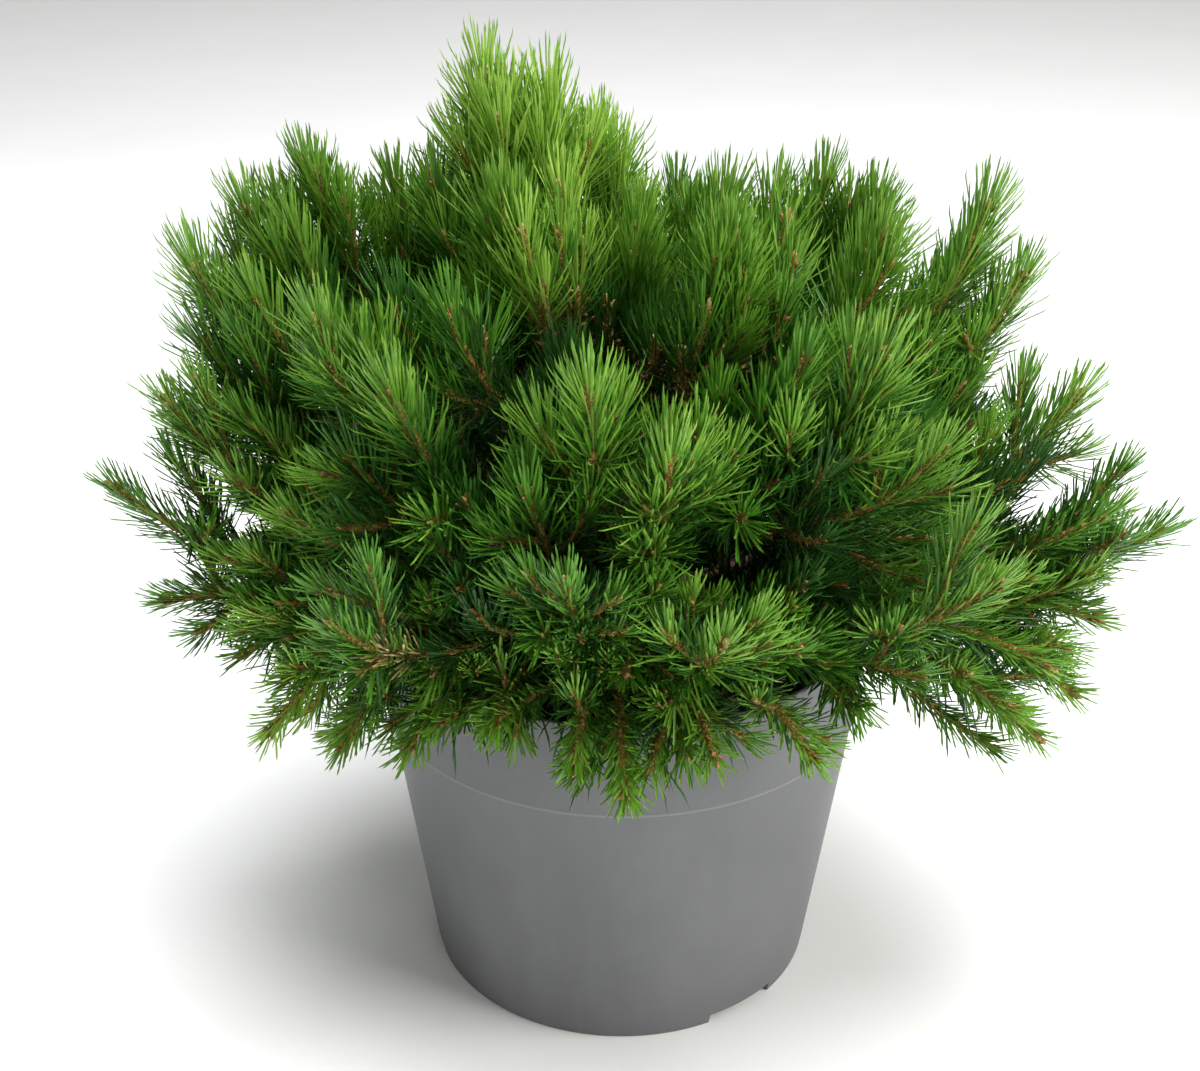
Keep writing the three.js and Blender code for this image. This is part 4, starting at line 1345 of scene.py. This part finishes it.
for order, (mass, bough) in enumerate(zip(masses, bough_lines)):
    onward = line_at(mass, BOUGH_SHARE * mass["reach"])
    start = on_line(mass, BOUGH_SHARE * mass["reach"])
    end = mass["shoots"][0]["foot"]
    stem = bezier(start, start + onward * 0.5 * np.linalg.norm(end - start), end, STEM_STEPS)
    add_branch(stem, STEM_RADII)
    add_brush(stem, **OLD_BRUSH)
    add_brush(bough[BARE_STEPS:], **BOUGH_BRUSH)
    spurs(stem, MASS_KEY * order)
    for i, shoot in enumerate(mass["shoots"]):
        key = MASS_KEY * order + i
        if i > 0:
            grow_twig(shoot, stem, i, key)
        grow_shoot(mass, shoot, i, key)
print(len(branches), "twigs and shoots, and", len(shoot_lines), "of them end in a bud")

# %% [markdown]
# Young pine twigs are orange-brown and rough all round: every fascicle of needles leaves a small raised
# scale on the twig when it falls. The relief is the bark's cell pattern again, two millimetres wide.

# %% Twig mesh
TWIG_SIDES = 5
TWIG_SCALE, TWIG_SCALE_DEPTH = 2.0, 0.6
twig_relief = bark_plates(TWIG_SCALE, TWIG_SCALE_DEPTH)
twigs = [limb(line, radii, TWIG_SIDES, twig_relief) for line, radii in branches]
twig_bark = scaly_bark("young_pine_bark", "#58421e", "#a47e36", "#c0a054", 1.1 * TWIG_SCALE)
foliage_nodes = ["foliage_" + mass["name"] for mass in masses]
make_piece("twigs", *join(twigs), twig_bark, "bark", foliage_nodes)

# %% [markdown]
# ## Needles
# A mugo's needles come in pairs, a few centimetres long and under 2 mm wide, stiff and slightly curved.
# Around the bud they stand close along the shoot, and further back they spread. Each one here is a blade
# folded along its keel, of eight triangles, that curves in three stretches. Particles or instances would be
# lighter, but real meshes are what leaves Blender whole. All needles of a shade become one mesh, or a few
# where it would grow large.

# %% Places along a line
def points_along(line, shares):
    """Where a line is at shares of its length, with its directions there."""
    steps = np.concatenate([[0], np.cumsum(np.linalg.norm(np.diff(line, axis=0), axis=1))])
    at = shares * steps[-1]
    every = np.stack([line, *frames_along(line)])
    return [np.stack([np.interp(at, steps, rows[:, c]) for c in range(3)], -1) for rows in every]


half_way = points_along(shoot_lines[0][0], np.array([0.5]))[0][0]
print("the first shoot is half way at", np.round(half_way))

# %% Needles of a brush
NEEDLE_STATIONS = np.array([0.0, 0.28, 0.88, 1.0])
NEEDLE_CURL = 0.22
FEWEST_PAIRS, FIRST_PAIR = 4, 0.6
BRUSH_SIZES = (0.92, 1.08)
SHORTEST, LENGTH_RANGE = 0.84, 0.24
PAIR_ANGLE, PAIR_TURN = 5.5, 9
ANGLE_SCATTER, OLD_ANGLE_SCATTER, TURN_SCATTER, SHADE_SCATTER = 32, 5, 12, 0.8
CLOSING = 1.4
TIP_SHORTER, TIP_START = 0.12, 0.8
YOUNG_FROM = 0.5


def needles_of(brush, order):
    """A brush's needles as stations (needle, station, xyz), their shades and which of the pair each is."""
    draw = np.random.default_rng(SEED + order)
    # Where each needle stands on the line: pairs follow each other by the golden angle.
    length = np.linalg.norm(np.diff(brush["line"], axis=0), axis=1).sum() * (1 - brush["start"])
    pairs = max(int(length / brush["spacing"]), FEWEST_PAIRS)
    k = np.repeat(np.arange(pairs), 2)
    pair = np.tile([-1.0, 1.0], pairs)
    t = brush["start"] + (1 - brush["start"]) * (k + FIRST_PAIR) / pairs
    root, along, side, across = points_along(brush["line"], np.minimum(t, 1))
    turn = k * GOLDEN_ANGLE + pair * PAIR_TURN + TURN_SCATTER * draw.standard_normal(len(k))
    turn = radians(turn)[:, None]
    out = side * np.cos(turn) + across * np.sin(turn)
    # Which way it points: it spreads at the line's foot and closes towards the tip.
    spread = draw.uniform(-OLD_ANGLE_SCATTER, OLD_ANGLE_SCATTER) * (1 - t)
    angle = mix(*brush["angles"], t**CLOSING) + spread
    angle = radians(angle + PAIR_ANGLE * pair + ANGLE_SCATTER * (draw.random(len(k)) - 0.5))[:, None]
    way = unit(along) * np.cos(angle) + unit(out) * np.sin(angle)
    # How long it is, and how it curls in to the shoot and turns up.
    size = brush["length"] * draw.uniform(*BRUSH_SIZES) * (SHORTEST + LENGTH_RANGE * draw.random(len(k)))
    size = size * (1 - TIP_SHORTER * share(t, TIP_START, 1))
    curl = NEEDLE_CURL * along + brush["lift"] * UP
    curl = curl - way * np.sum(curl * way, -1, keepdims=True)
    s = NEEDLE_STATIONS[None, :, None]
    stations = root[:, None] + size[:, None, None] * (s * way[:, None] + s * s * curl[:, None])
    older, younger = brush["tint"]
    shade = np.where(t + SHADE_SCATTER * (draw.random(len(k)) - 0.5) < YOUNG_FROM, older, younger)
    clear = clear_of_pot(stations).all(axis=1)
    return stations[clear], shade[clear], pair[clear] > 0


grown_needles = [needles_of(brush, order) for order, brush in enumerate(brushes)]
all_stations, all_shades, one_of_pair = (np.concatenate(kind) for kind in zip(*grown_needles))
print(len(all_stations), "needles in", len(brushes), "brushes")

# %% Needle shape
NEEDLE_HALF_WIDTH = 0.54
NEEDLE_POINTS = 8
NEEDLE_TRIS = np.array([[0, 1, 2], [0, 2, 3], [4, 7, 5], [5, 7, 6]])
NEEDLE_QUADS = np.array([[1, 4, 5, 2], [2, 5, 6, 3]])
NEEDLE_TRIANGLES = len(NEEDLE_TRIS) + 2 * len(NEEDLE_QUADS)
# A blade's edge, keel and other edge, across it and out on the keel's side, in half widths.
BLADE_ROW = ((-1, 0), (0, 1), (1, 0))
# A direction that no needle runs along exactly, to lay the blades' flats by.
NEARLY_UP = UP + 0.01


def blade_frame(start, end):
    """The way that blades run, and the directions across them and out on their keels' side."""
    way = unit(end - start)
    flat = unit(np.cross(way, NEARLY_UP))
    return way, flat, np.cross(way, flat)


def needle_mesh(stations):
    """Folded blades through the stations: a point, two rows of three across the keel, and a point."""
    _, flat, keel = blade_frame(stations[:, 0], stations[:, 3])
    rows = [
        stations[:, station] + (flat * across + keel * out) * NEEDLE_HALF_WIDTH
        for station in (1, 2)
        for across, out in BLADE_ROW
    ]
    points = np.stack([stations[:, 0], *rows, stations[:, 3]], 1)
    faces = [copies(kind, len(points), NEEDLE_POINTS) for kind in (NEEDLE_TRIS, NEEDLE_QUADS)]
    return points.reshape(-1, 3), faces


print("the needles make", len(all_stations) * NEEDLE_TRIANGLES, "triangles")

# %% [markdown]
# A pine needle is a waxy leaf: green all through, with a skin that gives a soft sheen in strong light. Its
# index of refraction is near 1.45, like most plant wax, and its roughness is around 0.4. Young needles at
# the tips are a yellower green, old ones inside are deep green, and here and there a spray has dried to
# straw. The shades are plain colours dealt out by spray, with a little noise so that no two look alike.
# Which shades a spray gets is also painted light and shade: paler high up and at the rim, darker half way
# down and where the spray is set back in the crown.

# %% Waxy needles
SHADE_GRAIN_MM = 12
MOST_TRIANGLES = 195000
NEEDLE_SHADES = {
    "pale": ("#86b83a", "#a8cc5a"),
    "fresh": ("#5f9428", "#84b040"),
    "grass": ("#467e1f", "#60962b"),
    "green": ("#30661c", "#447a26"),
    "deep": ("#244e18", "#32621f"),
    "shade": ("#1c3a14", "#284c1a"),
    "straw": ("#d2b868", "#efe0b0"),
}


def waxy_needle(name, colours):
    material, place = new_material(name)
    grain = {"Detail": 3.0}
    colour, _ = mottled(material, place, SHADE_GRAIN_MM, grain, contrast=(0.35, 0.65), colours=colours)
    return finish_surface(material, {"Roughness": 0.42, "IOR": 1.45}, {"Base Color": colour})


most = MOST_TRIANGLES // NEEDLE_TRIANGLES
for shade, colours in NEEDLE_SHADES.items():
    stations = all_stations[all_shades == shade]
    material = waxy_needle("pine_needle_" + shade, colours)
    for part, first in enumerate(range(0, len(stations), most)):
        points, faces = needle_mesh(stations[first : first + most])
        make_piece(f"needles_{shade}_{part + 1}", points, faces, material, "needles", foliage_nodes)

# %% [markdown]
# A papery brown sheath holds each pair of needles together at its foot. It is only a few millimetres long,
# but thousands of them make the shoots' axes look rough and orange-brown. Each is a folded scale of two
# triangles on the first stretch of one needle of the pair. The darkest needles inside the crown go without.
# The bark's finish serves for the sheaths too, in paler browns and with a finer grain.

# %% Sheaths
SHEATH_LENGTH = 5.0
SHEATH_HALF_WIDTH = 0.9
SHEATH_KEEL = 0.55
SHEATH_GRAIN_MM = 1.6
SHEATH_POINTS = 4
SHEATH_TRIS = np.array([[0, 2, 1], [0, 3, 2]])

sheathed = all_stations[one_of_pair & (all_shades != "shade")]
sheath_foot = sheathed[:, 0]
sheath_way, sheath_flat, sheath_keel = blade_frame(sheath_foot, sheathed[:, 1])
sheath_end = sheath_foot + sheath_way * SHEATH_LENGTH
middle = mix(sheath_foot, sheath_end, 0.5) - sheath_keel * SHEATH_KEEL
left, right = middle - sheath_flat * SHEATH_HALF_WIDTH, middle + sheath_flat * SHEATH_HALF_WIDTH
sheath_points = np.stack([sheath_foot, left, sheath_end, right], 1).reshape(-1, 3)
sheath_faces = [copies(SHEATH_TRIS, len(sheathed), SHEATH_POINTS)]
papery_sheath = scaly_bark("papery_sheath", "#6b521c", "#a2802e", "#c2a24a", SHEATH_GRAIN_MM)
make_piece(
    "needle_sheaths", sheath_points, sheath_faces, papery_sheath, "bark", foliage_nodes, smooth=False
)

# %% [markdown]
# ## Buds
# Every shoot ends in a cluster of buds that waits for spring: one large and a few small ones, with chestnut
# scales that overlap like tiles and a crust of pale resin. One bud is made as a small stepped body, and
# copies of it are set on every shoot's end by the directions of the shoot. A spent pollen cone has nearly
# the same shape, so smaller copies serve for those.

# %% Bud shape
BUD_LENGTH = 8.5
BUD_RADIUS = 2.5
BUD_SIDES = 4
BUD_POINT = 1.05
# Each step of the outline is one turn of scales: it swells, then drops back to where the next one starts.
BUD_OUTLINE = [(0.0, 0.6), (0.25, 1.0), (0.45, 0.78), (0.75, 0.6)]


def bud_shape():
    """A bud's points and faces, one long and one in radius. Each ring is turned half a corner on."""
    turn = np.linspace(0, 2 * np.pi, BUD_SIDES, endpoint=False)
    rings = [
        np.stack([r * np.cos(turn + 0.5 * i), r * np.sin(turn + 0.5 * i), np.full(BUD_SIDES, z)], -1)
        for i, (z, r) in enumerate(BUD_OUTLINE)
    ]
    points = np.concatenate([*rings, [[0, 0, 0], [0, 0, BUD_POINT]]])
    return points, tube_faces(len(rings), BUD_SIDES)


bud_points, bud_faces = bud_shape()
print("a bud has", len(bud_points), "points")

# %% Buds on every shoot
SMALL_BUDS = 3
SMALL_BUD_TILT = 38
SMALL_BUD_SIZE = 0.62
SMALL_BUD_PLACE = 1.2
# A direction that no bud points along exactly, to turn the buds by.
BUD_UP = UP + 0.013


def placed_bud(foot, way, size):
    side = unit(np.cross(way, BUD_UP))
    frame_of_bud = np.stack([side * BUD_RADIUS, np.cross(way, side) * BUD_RADIUS, way * BUD_LENGTH])
    return bud_points @ (frame_of_bud * size) + foot, bud_faces


buds = []
for line, size, key in shoot_lines:
    along, side, across = (rows[-1] for rows in frames_along(line))
    foot = line[-1] - along
    buds.append(placed_bud(foot, along, size * (LEAST_SIZE + SIZE_RANGE * chance(key, "bud_size"))))
    for j in range(SMALL_BUDS if size == 1.0 else 1):
        out = out_at(side, across, 2 * np.pi * (chance(key, "bud_turn") + j / SMALL_BUDS))
        way = unit(leaning(along, out, SMALL_BUD_TILT))
        buds.append(placed_bud(line[-1] + out * SMALL_BUD_PLACE - along, way, SMALL_BUD_SIZE * size))
print(len(buds), "buds")

# %% Spent cones
CONES = 20
CONE_TILT = 55
CONE_PLACE = 1.5
CONES_START = 0.04
CONE_SMALLEST, CONE_RANGE = 0.6, 0.35

cones = []
for line, key in flowered_lines:
    at, along, side, across = points_along(line, np.linspace(CONES_START, CONE_STRETCH, CONES))
    for j in range(CONES):
        out = out_at(side[j], across[j], radians(GOLDEN_ANGLE * j))
        way = unit(leaning(along[j], out, CONE_TILT))
        size = CONE_SMALLEST + CONE_RANGE * chance(key + j, "cone_size")
        cones.append(placed_bud(at[j] + out * CONE_PLACE, way, size))
print(len(cones), "spent cones")

# %% [markdown]
# Bud scales are dry and chestnut brown, with paler edges, and the resin over them is a cloudy, half-gloss
# crust. The noise that mixes the two has grains of 2.5 mm.

# %% Resinous bud scales
RESIN_GRAIN_MM = 2.5


def resinous_scales(name, scale, crust):
    material, place = new_material(name)
    colour, grains = mottled(
        material, place, RESIN_GRAIN_MM, {"Detail": 3.0}, contrast=(0.5, 0.66), colours=(scale, crust)
    )
    half_gloss = {"Roughness": 0.55, "IOR": 1.5}
    return finish_surface(material, half_gloss, {"Base Color": colour}, grains, depth_mm=0.3)


bud_scales = resinous_scales("resinous_bud_scales", "#885a26", "#c6a872")
cone_scales = resinous_scales("spent_cone_scales", "#5a381c", "#b07c46")
make_piece("buds", *join(buds), bud_scales, "bark", foliage_nodes)
make_piece("spent_cones", *join(cones), cone_scales, "bark", foliage_nodes)

# %% [markdown]
# ## Floor
# The plant stands on a plain pale studio floor. It is wide enough to fill the view from any side, and its
# matt paint has only the faintest mottling, so nothing draws the eye from the plant.

# %% Studio floor
FLOOR_HALF = 9000
MOTTLE_MM = 220


def matt_floor_paint():
    material, place = new_material("matt_floor_paint")
    colours = ("#f0f0f0", "#f6f6f6")
    colour, _ = mottled(material, place, MOTTLE_MM, {"Detail": 2.0}, contrast=(0.0, 1.0), colours=colours)
    return finish_surface(material, {"Roughness": 0.7}, {"Base Color": colour})


floor_mesh = bpy.data.meshes.new("studio_floor")
half = FLOOR_HALF * METRES
floor_corners = [(-half, -half, 0), (half, -half, 0), (half, half, 0), (-half, half, 0)]
floor_mesh.from_pydata(floor_corners, [], [(0, 1, 2, 3)])
floor_mesh.materials.append(matt_floor_paint())
studio_floor = bpy.data.objects.new("studio_floor", floor_mesh)
bpy.context.scene.collection.objects.link(studio_floor)
print("floor:", 2 * half, "m square")
